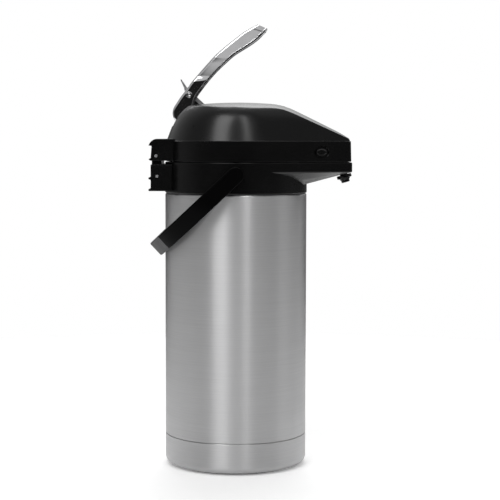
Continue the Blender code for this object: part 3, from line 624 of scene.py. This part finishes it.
def pour_nozzle():
    """A flanged outlet that narrows in a step to its tip."""
    tilt = Matrix.Translation(NOZZLE_TOP) @ Matrix.Rotation(math.pi - NOZZLE_TILT, 4, "Y")
    neck = [(2.9, -0.4), (4.3, -0.4), (4.3, 0.9)]
    flange = [(7.8, 0.9), (8.3, 1.2), (8.4, 1.6), (8.4, 3.8), (8.2, 4.3), (7.6, 4.6)]
    step = [(5.9, 4.8), (5.7, 6.0), (5.4, 6.4)]
    tip = [(4.8, 6.6), (4.7, 9.1), (4.4, 9.4), (3.4, 9.4), (3.1, 9.0), (2.9, 5.6)]
    item = solid("pour_nozzle", drawn(add_revolve, neck + flange + step + tip, 72, tilt))
    show(item, "black_plastic", "root", "nozzle")


# ---- hinge on the collar ----

HINGE_FRONT = -66.0           # hinge parts are drawn this far into the body, then trimmed or joined


def hinge_block():
    """The lower leaf: a block with two ribs across its back and a knuckle round the lid's pin."""
    low = 311.5
    top = 341.0
    rib = HINGE_BACK - 2.4
    outline = [(HINGE_FRONT, low), (rib, low), (rib, low + 2.2), (HINGE_BACK, low + 3.2), (HINGE_BACK, 324),
               (rib, 324.7), (rib, 326.6), (HINGE_BACK, 327.3), (HINGE_BACK, top), (HINGE_FRONT, top)]
    item = solid("hinge_block", drawn(add_prism, outline, -HINGE_HALF, HINGE_HALF))
    soften(item, 0.6)
    knuckle = arc(HINGE, 5.2, 180, 0, 20) + [(HINGE[0] + 5.2, top - 4), (HINGE[0] - 5.2, top - 4)]
    join(item, drawn(add_prism, knuckle, -KNUCKLE_HALF, KNUCKLE_HALF), 0.3)
    reach = BODY_R + 0.3 + GAP
    cut(item, drawn(add_revolve, [(0, 300), (reach, 300), (reach, 360), (0, 360)], ROUND))
    bores = bmesh.new()
    for centre in (HINGE, BRACKET_PIN):
        add_cross_pin(bores, centre, HINGE_HALF + 1.5, HINGE_PIN_R + GAP)
    cut(item, bores)
    show(item, "black_plastic", "root", "hinge_bracket", sharp=28)


# ---- lid ----

BAND_INSET = 0.7              # the lid's band stands this far inside the collar's outline
FLANK_FOOT = 1.6              # inset where the dome's flank starts
FLANK_RISE = 38.5
FLANK_LEAN = 0.38             # inset gained per millimetre of rise
FLANK_CURL = 8.8              # inset gained at the top of the flank, mostly near the top
CROWN_Z = 410.3
SLOPE_START = 54.0
SLOPE = math.tan(math.radians(26.4))
RIM_ROUND = 0.9               # how far the rounded rim reaches down the flank and in over the crown


def flank_point(t):
    """Inset and height of the dome's flank, t from 0 at the waist to 1 and beyond."""
    rise = FLANK_RISE * t
    return FLANK_FOOT + FLANK_LEAN * rise + FLANK_CURL * t ** 4.5, WAIST_Z + 0.5 + rise


def crown_z(x, y):
    """Top of the lid: gently crowned, then falling straight to the tip of the nose."""
    blend = 7.0
    ahead = x - SLOPE_START
    eased = 0.5 * (ahead + math.hypot(ahead, blend)) - 0.8
    fall = 0.0012 if x < 0 else 0.0009
    tail = 0.0035 * max(-40 - x, 0.0) ** 2
    line = CROWN_Z - fall * min(x, SLOPE_START) ** 2 - SLOPE * max(eased, 0.0) - tail
    bend = 0.0018 + 0.0011 * ease_in(x, 0, 60)
    return line - bend * y * y


def crown_break(index):
    """How far up the flank each station of the outline meets the crown."""
    low, high = 0.0, 1.6
    for _ in range(26):
        middle = 0.5 * (low + high)
        inset, height = flank_point(middle)
        x, y = plan_outline(inset, height)[index]
        if height < crown_z(x, y):
            low = middle
        else:
            high = middle
    return low


def spine_point(x):
    """Where a station's row ends on the lid's centre line."""
    return min(max(x * 0.86, -30), 112)


def dome_column(index, limit, flank_steps, crown_steps, inset_by):
    """Points from the lid's lower edge up the flank, over the rim and across the crown."""
    column = []
    edges = [(0.0, PARTING_Z + GAP)]
    if not inset_by:
        edges = [(0.5, PARTING_Z + GAP), (0.15, PARTING_Z + GAP + 0.15), (0.0, PARTING_Z + GAP + 0.5)]
    for back, height in edges + [(0.0, WAIST_Z - inset_by * 0.5)]:
        x, y = plan_outline(BAND_INSET + back + inset_by, height)[index]
        column.append(Vector((x, y, height)))
    ease = min(RIM_ROUND / FLANK_RISE, 0.4 * limit)
    for step in range(flank_steps + 1):
        inset, height = flank_point((limit - ease) * step / flank_steps)
        x, y = plan_outline(inset + inset_by, height)[index]
        column.append(Vector((x, y, height - inset_by * 0.6)))
    inset, height = flank_point(limit)
    rim_x, rim_y = plan_outline(inset + inset_by, height)[index]
    end = Vector((spine_point(rim_x), 0.0))
    rim = Vector((rim_x, rim_y))
    reach = (end - rim).length

    def crown_point(t):
        place = rim.lerp(end, t)
        return Vector((place.x, place.y, crown_z(place.x, place.y) - inset_by))
    shoulder = crown_point(RIM_ROUND / reach)
    corner = Vector((rim_x, rim_y, height - inset_by * 0.8))
    below = column[-1]
    for t in (0.25, 0.5, 0.75):
        column.append(below.lerp(corner, t).lerp(corner.lerp(shoulder, t), t))
    column.append(shoulder)
    start = RIM_ROUND / reach
    for step in range(1, crown_steps):
        column.append(crown_point(start + (1 - start) * (step / crown_steps) ** 1.3))
    return column


def dome_skin(bm, inset_by, flank_steps, crown_steps, limits):
    """One skin of the dome, from its lower edge up to a seam along the centre line."""
    count = len(limits)
    columns = [dome_column(i, limits[i], flank_steps, crown_steps, inset_by) for i in range(count)]
    rows = [[bm.verts.new(column[k]) for column in columns] for k in range(len(columns[0]))]
    for lower, upper in zip(rows, rows[1:]):
        for i in range(count):
            j = (i + 1) % count
            bm.faces.new((lower[i], lower[j], upper[j], upper[i]))
    for i in range(count // 2):
        strip = (rows[-1][i], rows[-1][i + 1], rows[-1][count - 2 - i], rows[-1][count - 1 - i])
        bm.faces.new(list(dict.fromkeys(strip)))
    return rows[0]


def dome_shell():
    bm = bmesh.new()
    near = [crown_break(i) for i in range(len(plan_outline()) // 2 + 1)]
    limits = near + near[-2::-1]
    outer = dome_skin(bm, 0.0, 18, 14, limits)
    inner = dome_skin(bm, LID_WALL, 6, 5, limits)
    count = len(outer)
    for i in range(count):
        j = (i + 1) % count
        bm.faces.new((outer[i], inner[i], inner[j], outer[j]))
    return solid("lid_dome", bm)


def add_wall_plug(bm, half_long, half_high, depths, side, steps=48):
    """An oval plug square to the nose's side wall; depths are (how far out, how much smaller)."""
    centre = side_point(BUTTON_X, BUTTON_Z)
    rings = []
    for depth, shrink in depths:
        ring = []
        for i in range(steps):
            angle = 2 * math.pi * i / steps
            a = (half_long - shrink) * math.cos(angle)
            b = (half_high - shrink) * math.sin(angle)
            point = centre + SIDE_ALONG * a + SIDE_OUT * depth + Vector((0, 0, b))
            ring.append((point.x, point.y * side, point.z))
        rings.append(ring)
    add_loft(bm, rings)


SCREW_CIRCLE = 69.0
SCREW_R = 1.3
BOSS_R = 3.6
CHEEK_OUTLINE = [(-66, 390.5), (-63, 386), (-56, 384.5), (-44, 384.5), (-39, 387), (-37.5, 396),
                 (-37.5, 405.6), (-46, 404.6), (-53, 401.5), (-60, 396.5)]


# The well round each release button, then the passage for the button itself, as add_wall_plug takes them
BUTTON_HOLES = [(9.0, 6.7, [(-2.7, 0), (-1.1, 0), (-0.7, -0.3), (8, -0.3)]),
                (7.4, 4.9, [(-8, 0), (0, 0)])]


def screw_spots():
    bearings = [math.radians(a) for a in (68, 130, 230, 292)]
    return [(SCREW_CIRCLE * math.cos(a), SCREW_CIRCLE * math.sin(a)) for a in bearings]


def lid():
    """The dome with all that is joined to it or cut out of it."""
    item = dome_shell()

    leaf = [(HINGE_FRONT, 345.2), (-94.2, 345.2), (-96.2, 346.2), (-96.2, 347.4), (-94.2, 348),
            (-93.2, 361.5), (-96.6, 362.0)]
    leaf += arc((-86.5, 359.2), 10.3, 158, 100, 8) + [(-84, 369.4), (HINGE_FRONT, 369.4)]
    join(item, drawn(add_prism, leaf, -HINGE_HALF, HINGE_HALF), 0.4)
    room = BODY_R - BAND_INSET - LID_WALL - 0.3
    inside = [(0, 330), (room, 330), (room, 366.5), (room - 4, 371), (0, 371)]
    cut(item, drawn(add_revolve, inside, ROUND))

    cheeks = bmesh.new()
    for side in (1, -1):
        low, high = sorted((side * SLOT_HALF, side * (SLOT_HALF + CHEEK)))
        add_prism(cheeks, CHEEK_OUTLINE, low, high)
    join(item, cheeks)

    bosses = bmesh.new()
    for x, y in screw_spots():
        add_rod(bosses, (x, y, FLANGE_Z + 3), (x, y, 384.0), BOSS_R, 24)
    join(item, bosses)

    bite = [(-110, 340), (-80.3, 340), (-80.3, 359.0), (-88, 361.5), (-93, 360.4), (-110, 354)]
    cut(item, drawn(add_prism, bite, -(KNUCKLE_HALF + 0.6), KNUCKLE_HALF + 0.6))
    slot = [(-90, 383.6), (-50, 383.6), (-40, 376), (-20, 376), (2, 392), (2, 430), (-90, 430)]
    cut(item, drawn(add_prism, slot, -SLOT_HALF, SLOT_HALF), 1.0)

    holes = bmesh.new()
    add_cross_pin(holes, HINGE, HINGE_HALF + 1.5, HINGE_PIN_R + GAP)
    add_cross_pin(holes, FULCRUM, SLOT_HALF + 2.6, FULCRUM_R + GAP)
    add_cross_pin(holes, KEEPER, SLOT_HALF + 2.6, RIVET_R + GAP)
    for x, y in screw_spots():
        add_rod(holes, (x, y, FLANGE_Z), (x, y, FLANGE_Z + 13), SCREW_R + GAP, 16)
    cut(item, holes)

    for half_long, half_high, depths in BUTTON_HOLES:
        holes = bmesh.new()
        for side in (1, -1):
            add_wall_plug(holes, half_long, half_high, depths, side)
        cut(item, holes)
    show(item, "black_plastic", "lid", "lid_shell", sharp=28)


LATCH_Z = (337.5, 357.0)      # foot and head of the buttons' latch arms


def release_buttons():
    """Oval buttons with a dished face and a raised rim, each with its latch arm behind."""
    for side, hand in ((1, "left"), (-1, "right")):
        dish = [(-4.1, 0), (-1.3, 0), (-1.0, 0.15), (-0.9, 0.5), (-1.0, 0.9), (-1.4, 1.5), (-1.6, 2.6)]
        item = solid(f"thumb_button_{hand}", drawn(add_wall_plug, 7.0, 4.5, dish, side))
        join(item, drawn(add_wall_plug, 9.0, 6.4, [(-5.5, 0.3), (-5.2, 0), (-3.7, 0)], side))
        low = side_point(BUTTON_X - 4, LATCH_Z[0], -8.7)
        out = SIDE_OUT * 3.6
        along = SIDE_ALONG * 8
        base = [low, low + along, low + along + out, low + out]
        arm = [[(p.x, p.y * side, height) for p in base] for height in LATCH_Z]
        join(item, drawn(add_loft, arm), 0.4)
        show(item, "black_plastic", f"button_{hand}", f"release_button_{hand}", sharp=40)


# ---- pump: bellows and spring ----

def shorten_with_plunger(item):
    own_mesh(item)


BELLOWS_MID = 44.75
BELLOWS_FOLD = 2.7
BELLOWS_WALL = 1.5
SPRING_R = 17.0
SPRING_WIRE = 1.05
SPRING_TURNS = 5.5
CLOSED = 0.14                 # share of the wire in each closed end of the coil


def pump_bellows():
    """Four rubber folds with rounded crests and roots."""
    bottom = PUMP_FLOOR + GAP
    tall = PLUNGER_Z - GAP - bottom
    steps = 72
    wave = [BELLOWS_MID - BELLOWS_FOLD * math.cos(8 * math.pi * i / steps) for i in range(steps + 1)]
    outer = [(radius, bottom + tall * i / steps) for i, radius in enumerate(wave)]
    inner = [(radius - BELLOWS_WALL, height) for radius, height in reversed(outer)]
    item = solid("pump_bellows", drawn(add_revolve, outer + inner, 96))
    shorten_with_plunger(show(item, "silicone", "lid", "bellows", sharp=70))


def pump_spring():
    """A round-wire coil with its end turns closed up."""
    bottom = PUMP_FLOOR + GAP + SPRING_WIRE
    tall = PLUNGER_Z - GAP - SPRING_WIRE - bottom
    count = 264
    rings = []
    for i in range(count + 1):
        share = i / count
        angle = 2 * math.pi * SPRING_TURNS * share
        climb = (0.05 * ease_in(share, 0, CLOSED) + 0.9 * ease_in(share, CLOSED, 1 - 2 * CLOSED)
                 + 0.05 * ease_in(share, 1 - CLOSED, CLOSED))
        ring = []
        for k in range(12):
            turn = 2 * math.pi * k / 12
            radius = SPRING_R + SPRING_WIRE * math.cos(turn)
            height = bottom + tall * climb + SPRING_WIRE * math.sin(turn)
            ring.append((radius * math.cos(angle), radius * math.sin(angle), height))
        rings.append(ring)
    item = solid("pump_spring", drawn(add_loft, rings))
    shorten_with_plunger(show(item, "pin_steel", "lid", "return_spring", sharp=60))


# ---- lever ----

# Back edge and open edge of the lever at each height, heel to tip, as (z, back x, open x)
LEVER_EDGES = [(387.6, -66.4, -50.6), (392.6, -70.1, -48.8), (398.2, -71.2, -48.4),
               (404.2, -70.0, -48.0), (410.4, -66.2, -46.4), (416.5, -62.2, -44.2), (423.2, -57.0, -39.6),
               (433.3, -49.6, -31.9), (443.4, -41.0, -23.2), (453.6, -32.0, -12.8), (463.6, -22.6, -1.2),
               (473.7, -11.0, 14.8), (480.5, -2.4, 24.2), (487.2, 6.2, 31.1), (490.5, 11.4, 34.2),
               (493.9, 17.3, 35.8), (497.3, 23.6, 34.2)]
CORNER = 2.6                  # radius of the lever's back corners
FACET = 1.7                   # width of the bevelled border along each open edge
RIDGE = 0.3                   # radius of the raised line between border and flange
TURN_IN = math.tan(math.radians(8.0))     # how far the borders lean back in
SPLAY = math.tan(math.radians(10.8))      # how far the flanges lean apart towards the open edge
SPLAY_RAMP = (434, 5)         # the height where that starts, and how soon it is full; ramps below too
WIDEN = 2.0                   # how much wider each side of the handle is than of the heel
WIDEN_RAMP = (425, 35)
TIP_SLANT = 2.6               # how far the sections near the tip lean towards the open edge
SLANT_RAMP = (455, 35)
TIP_BAND = (491.8, 0.3)       # height of the raised band across the tip, and how far it stands up
TIP_LENGTH = 5.0              # the channel closes to a solid tip over this height


def lever_ring(z, back_x, open_x, half, web, splay, stretch, slant):
    """A pressed channel: rounded back, flanges leaning apart, a raised line and a turned-in border."""
    depth = open_x - back_x
    corner = min(CORNER * stretch, depth * 0.3)
    facet = min(FACET * stretch, depth * 0.14)
    ridge = RIDGE * stretch
    fold = depth - facet

    def side(a):
        return half - splay * max(fold - a, 0) / stretch
    drop = TURN_IN * facet / stretch
    lip = half - drop
    outer = [(depth, lip - 1.1), (depth, lip - 0.3), (depth - 0.2 * stretch, lip - 0.06),
             (depth - 0.4 * stretch, lip), (fold, half)]
    outer += [(fold - ridge + ridge * math.cos(a), half + RIDGE * math.sin(a))
              for a in (math.radians(d) for d in (30, 60, 90, 120, 150))]
    start = fold - 2 * ridge
    outer += [(corner + (start - corner) * share, side(corner + (start - corner) * share))
              for share in (1.0, 0.66, 0.33)]
    reach = side(corner)
    outer += [(corner - corner * math.sin(a), reach - CORNER + CORNER * math.cos(a))
              for a in (math.radians(d) for d in (0, 15, 30, 45, 60, 75, 90))]
    web = min(web, fold - 1.2)
    inner = [(depth - 0.1, lip - LEVER_WALL), (fold - 0.4, half - LEVER_WALL - 0.2),
             (web + 0.6, side(web) - LEVER_WALL), (web, side(web) - LEVER_WALL - 0.8)]
    section = outer + [(a, -y) for a, y in reversed(outer)]
    section += [(a, -y) for a, y in inner] + list(reversed(inner))
    return [(back_x + a, y, z + slant * (1 - 2 * a / depth)) for a, y in section]


def press_lever():
    """The lever, lofted from heel to tip, with its two bores and the catch's window."""
    rows = smooth_rows(LEVER_EDGES, 6)
    rise = 4.0

    def edge(z, column):
        for low, high in zip(rows, rows[1:]):
            if z <= high[0]:
                break
        return low[column] + (high[column] - low[column]) * ease_in(z, low[0], high[0] - low[0])
    rings = []
    bottom, top = rows[0][0], rows[-1][0] - TIP_SLANT
    count = 120
    for i in range(count + 1):
        z = bottom + (top - bottom) * i / count
        slant = TIP_SLANT * ease_in(z, *SLANT_RAMP)
        back_x, open_x = edge(z + slant, 1), edge(z - slant, 2)
        lean = (edge(z + rise, 1) + edge(z + rise, 2) - edge(z - rise, 1) - edge(z - rise, 2)) / (4 * rise)
        stretch = min(math.hypot(1, lean), 1.9)
        half = LEVER_HALF + WIDEN * ease_in(z, *WIDEN_RAMP)
        splay = SPLAY * ease_in(z, *SPLAY_RAMP)
        to_tip = (top - z) / TIP_LENGTH
        web = LEVER_WALL * 1.25
        if to_tip < 1:
            half -= 0.9 * (1 - to_tip) ** 3
            web += (open_x - back_x - web) * (1 - to_tip)
        half += TIP_BAND[1] * math.exp(-((z - TIP_BAND[0]) / 0.8) ** 2)
        rings.append(lever_ring(z, back_x, open_x, half, web, splay, stretch, slant))
    item = solid("press_lever", drawn(add_loft, rings))
    bores = bmesh.new()
    add_cross_pin(bores, FULCRUM, 20, FULCRUM_R + GAP)
    add_cross_pin(bores, LINK_TOP, 20, RIVET_R + GAP)
    cut(item, bores)
    window = [(-68, 413), (-55.6, 413), (-48.8, 431), (-52, 438), (-68, 436)]
    cut(item, drawn(add_prism, window, -6.8, 6.8), 0.8)
    show(item, "lever_chrome", "lever", "lever", sharp=38)


def rivet():
    """The rivet through lever and link, with domed and dimpled heads."""
    head = [(RIVET_R, 11.05), (3.3, 11.05), (3.45, 11.3), (3.2, 11.65), (2.5, 11.85), (1.6, 11.8),
            (1.2, 11.55), (0, 11.5)]
    profile = [(radius, -height) for radius, height in reversed(head)] + head
    place = Matrix.Translation((LINK_TOP[0], 0, LINK_TOP[1])) @ Matrix.Rotation(math.pi / 2, 4, "X")
    item = solid("domed_rivet", drawn(add_revolve, profile, 48, place))
    show(item, "lever_chrome", "lever", "link_rivet")


# ---- bail ----

BAIL_MID = 88.0               # from the middle plane to the middle of each arm, and the bow's radius
BAIL_THICK = 6.0
BAIL_WIDE = 18.4
BAIL_ARM = 34.3               # from the pivots to the start of the bow
GRIP_AND_HIGHLIGHT = math.radians(58)       # the grip, ribbed and coloured grey as a painted highlight, starts this far round the bow
RIB_DEEP = 0.35


def bail_strap():
    """A flat strap bent to a U, with fine ribs across the outside of its grip, whose grey colour is a
    painted highlight on the bow's outer face.
    """
    down = Vector((-math.cos(BAIL_ANGLE), 0, -math.sin(BAIL_ANGLE)))
    edge = Vector((math.sin(BAIL_ANGLE), 0, -math.cos(BAIL_ANGLE)))
    pivot = Vector((0, 0, BAIL_Z))

    def ring(run, y, turn, half_wide, sink=0.0):
        out = Vector((0, math.cos(turn), 0)) + down * math.sin(turn)
        centre = pivot + down * run + Vector((0, y, 0))
        half = BAIL_THICK / 2
        bend = min(1.3, half_wide * 0.4)
        section = []
        for sign_a, sign_b, start in ((1, 1, 0), (-1, 1, 90), (-1, -1, 180), (1, -1, 270)):
            for step in (0, 30, 60, 90):
                angle = math.radians(start + step)
                a = sign_a * (half - bend) + bend * math.cos(angle)
                b = sign_b * (half_wide - bend) + bend * math.sin(angle)
                section.append((min(a, half - sink), b))
        return [centre + out * a + edge * b for a, b in section]
    rings = []
    half_wide = BAIL_WIDE / 2
    ends = [math.radians(6 + 84 * step / 14) for step in range(15)]
    for swing in ends:
        rings.append(ring(-half_wide * math.cos(swing), BAIL_MID, 0, half_wide * math.sin(swing)))
    bow = 320
    for i in range(bow + 1):
        turn = math.pi * i / bow
        ribbed = GRIP_AND_HIGHLIGHT < turn < math.pi - GRIP_AND_HIGHLIGHT
        sink = RIB_DEEP * (0.5 - 0.5 * math.cos(math.pi * i / 2)) if ribbed else 0.0
        run = BAIL_ARM + BAIL_MID * math.sin(turn)
        rings.append(ring(run, BAIL_MID * math.cos(turn), turn, half_wide, sink))
    for swing in reversed(ends):
        rings.append(ring(-half_wide * math.cos(swing), -BAIL_MID, math.pi, half_wide * math.sin(swing)))
    item = solid("bail_strap", drawn(add_loft, rings))
    sockets = bmesh.new()
    for side in (1, -1):
        add_rod(sockets, (0, side * 70, BAIL_Z), (0, side * 88.2, BAIL_Z), BAIL_PIVOT_R + GAP, 48)
    cut(item, sockets)
    show(item, "bail_plastic", "bail", "bail", sharp=40)
    # the grip's faces take the grey material, a painted highlight on the outer bow
    item.data.materials.append(FINISHES["bail_grip_painted_highlight"])
    reach = (BAIL_ARM + BAIL_MID * math.sin(GRIP_AND_HIGHLIGHT)) * MM
    for face in item.data.polygons:
        face.material_index = int((face.center - pivot * MM).dot(down) > reach)


for part in (flask_steel, collar, pour_nozzle, hinge_block, lid, release_buttons, pump_bellows, pump_spring,
             press_lever, rivet, bail_strap):
    part()


# ---- camera ----

CAMERA_AT = (0.0161, -1.6742, 0.3713)
CAMERA_LENS = 106.2
CAMERA_DOWN = 4.37            # degrees below level
CAMERA_ROLL = 0.127           # degrees


def camera():
    """A long lens square to the side, a little above the lid's middle."""
    data = bpy.data.cameras.new("camera")
    data.sensor_width = 36.0
    data.lens = CAMERA_LENS
    made = bpy.data.objects.new("camera", data)
    bpy.context.scene.collection.objects.link(made)
    pitch = Matrix.Rotation(math.radians(90 - CAMERA_DOWN), 4, "X")
    roll = Matrix.Rotation(math.radians(CAMERA_ROLL), 4, "Z")
    made.matrix_world = Matrix.Translation(CAMERA_AT) @ pitch @ roll
    bpy.context.scene.camera = made


camera()


# ---- studio ----

def softbox(name, azimuth, elevation, distance, width, height, radiance):
    """A soft light aimed at the airpot; azimuth is 0 on the viewer's side and positive to the right."""
    aim = Vector((0, 0, 0.3))
    turn, rise = math.radians(azimuth), math.radians(elevation)
    toward = Vector((math.sin(turn) * math.cos(rise), -math.cos(turn) * math.cos(rise), math.sin(rise)))
    data = bpy.data.lights.new(name, "AREA")
    data.shape = "RECTANGLE"
    data.size = width
    data.size_y = height
    data.energy = radiance * math.pi * width * height
    made = bpy.data.objects.new(name, data)
    made.location = aim + toward * distance
    made.rotation_euler = (-toward).to_track_quat("-Z", "Y").to_euler()
    made.visible_camera = False
    bpy.context.scene.collection.objects.link(made)


# The room's radiance by direction, as (azimuth in degrees from the viewer's side, low, high), where
# low is level with the airpot and high is well above it
ROOM = [(-180, 0.60, 1.00), (-150, 0.10, 0.50), (-115, 0.20, 0.40), (-80, 0.18, 0.26), (-55, 0.06, 0.26),
        (-30, 0.02, 0.52), (12, 0.02, 0.46), (50, 0.09, 0.30), (73, 0.10, 0.18), (78, 0.14, 0.48),
        (95, 0.16, 0.48), (115, 0.12, 0.30), (130, 0.08, 0.65), (155, 0.10, 0.80), (180, 0.60, 1.00)]
ROOM_SPLIT = (0.12, 0.22)     # heights of direction between which low turns to high


def studio_world():
    """A dim room on the viewer's side and a white one behind, seen by the camera as plain white."""
    world = bpy.data.worlds.new("studio")
    bpy.context.scene.world = world
    world.use_nodes = True
    tree = world.node_tree
    wire = tree.links.new

    def node(kind, **settings):
        return new_node(tree, kind, **settings)
    direction = node("ShaderNodeTexCoord")
    parts = node("ShaderNodeSeparateXYZ")
    wire(direction.outputs["Generated"], parts.inputs["Vector"])
    turn = node("ShaderNodeMath", operation="ARCTAN2")
    front = node("ShaderNodeMath", operation="MULTIPLY")
    front.inputs[1].default_value = -1.0
    wire(parts.outputs["Y"], front.inputs[0])
    wire(parts.outputs["X"], turn.inputs[0])
    wire(front.outputs["Value"], turn.inputs[1])
    share = node("ShaderNodeMapRange")
    share.inputs["From Min"].default_value = -math.pi
    share.inputs["From Max"].default_value = math.pi
    wire(turn.outputs["Value"], share.inputs["Value"])
    levels = []
    for level in (1, 2):
        made = node("ShaderNodeFloatCurve")
        curve = made.mapping.curves[0]
        while len(curve.points) < len(ROOM):
            curve.points.new(0.5, 0.5)
        for point, row in zip(curve.points, ROOM):
            point.location = ((row[0] + 180) / 360, row[level] / 2)
        made.mapping.update()
        wire(share.outputs["Result"], made.inputs["Value"])
        levels.append(made.outputs["Value"])
    height = node("ShaderNodeMapRange", interpolation_type="SMOOTHSTEP")
    height.inputs["From Min"].default_value = ROOM_SPLIT[0]
    height.inputs["From Max"].default_value = ROOM_SPLIT[1]
    wire(parts.outputs["Z"], height.inputs["Value"])
    mixed = node("ShaderNodeMix", data_type="FLOAT")
    wire(height.outputs["Result"], mixed.inputs["Factor"])
    wire(levels[0], mixed.inputs["A"])
    wire(levels[1], mixed.inputs["B"])
    double = node("ShaderNodeMath", operation="MULTIPLY")
    double.inputs[1].default_value = 2.0
    wire(mixed.outputs["Result"], double.inputs[0])
    sight = node("ShaderNodeLightPath")
    choose = node("ShaderNodeMix", data_type="FLOAT")
    choose.inputs["B"].default_value = 1.0
    wire(sight.outputs["Is Camera Ray"], choose.inputs["Factor"])
    wire(double.outputs["Value"], choose.inputs["A"])
    background = tree.nodes["Background"]
    background.inputs["Color"].default_value = (1, 1, 1, 1)
    wire(choose.outputs["Result"], background.inputs["Strength"])


FLOOR_R = 1.1
FLOOR_GLOW = 0.24             # lifts the floor to plain white where the camera sees it


def floor():
    """A pale round floor that the airpot stands on; past its edge the room is as white to look at."""
    bm = bmesh.new()
    bmesh.ops.create_circle(bm, cap_ends=True, radius=FLOOR_R, segments=128)
    mesh = bpy.data.meshes.new("floor")
    bm.to_mesh(mesh)
    bm.free()
    made = bpy.data.objects.new("floor", mesh)
    bpy.context.scene.collection.objects.link(made)
    finish = Finish("floor_white", (0.93, 0.93, 0.93), 0.7, specular=0.2)
    finish.shader.inputs["Emission Color"].default_value = (1, 1, 1, 1)
    sight = finish.node("ShaderNodeLightPath")
    glow = finish.span(sight.outputs["Is Camera Ray"], 0.0, FLOOR_GLOW, 0.0, 1.0)
    finish.wire(glow, finish.shader.inputs["Emission Strength"])
    mesh.materials.append(finish.material)


# Name, azimuth, elevation, distance, width, height, radiance
SOFTBOXES = [("key_left", -29, 50, 2.0, 0.74, 1.3, 4.6), ("key_right", 22, 50, 2.0, 0.22, 1.3, 5.2),
             ("rear_high", 172, 34, 2.0, 2.2, 0.7, 1.4), ("overhead", 180, 66, 1.9, 0.9, 0.9, 4.0)]


def studio():
    studio_world()
    floor()
    for light in SOFTBOXES:
        softbox(*light)
    bpy.context.scene.view_settings.view_transform = "Standard"


studio()
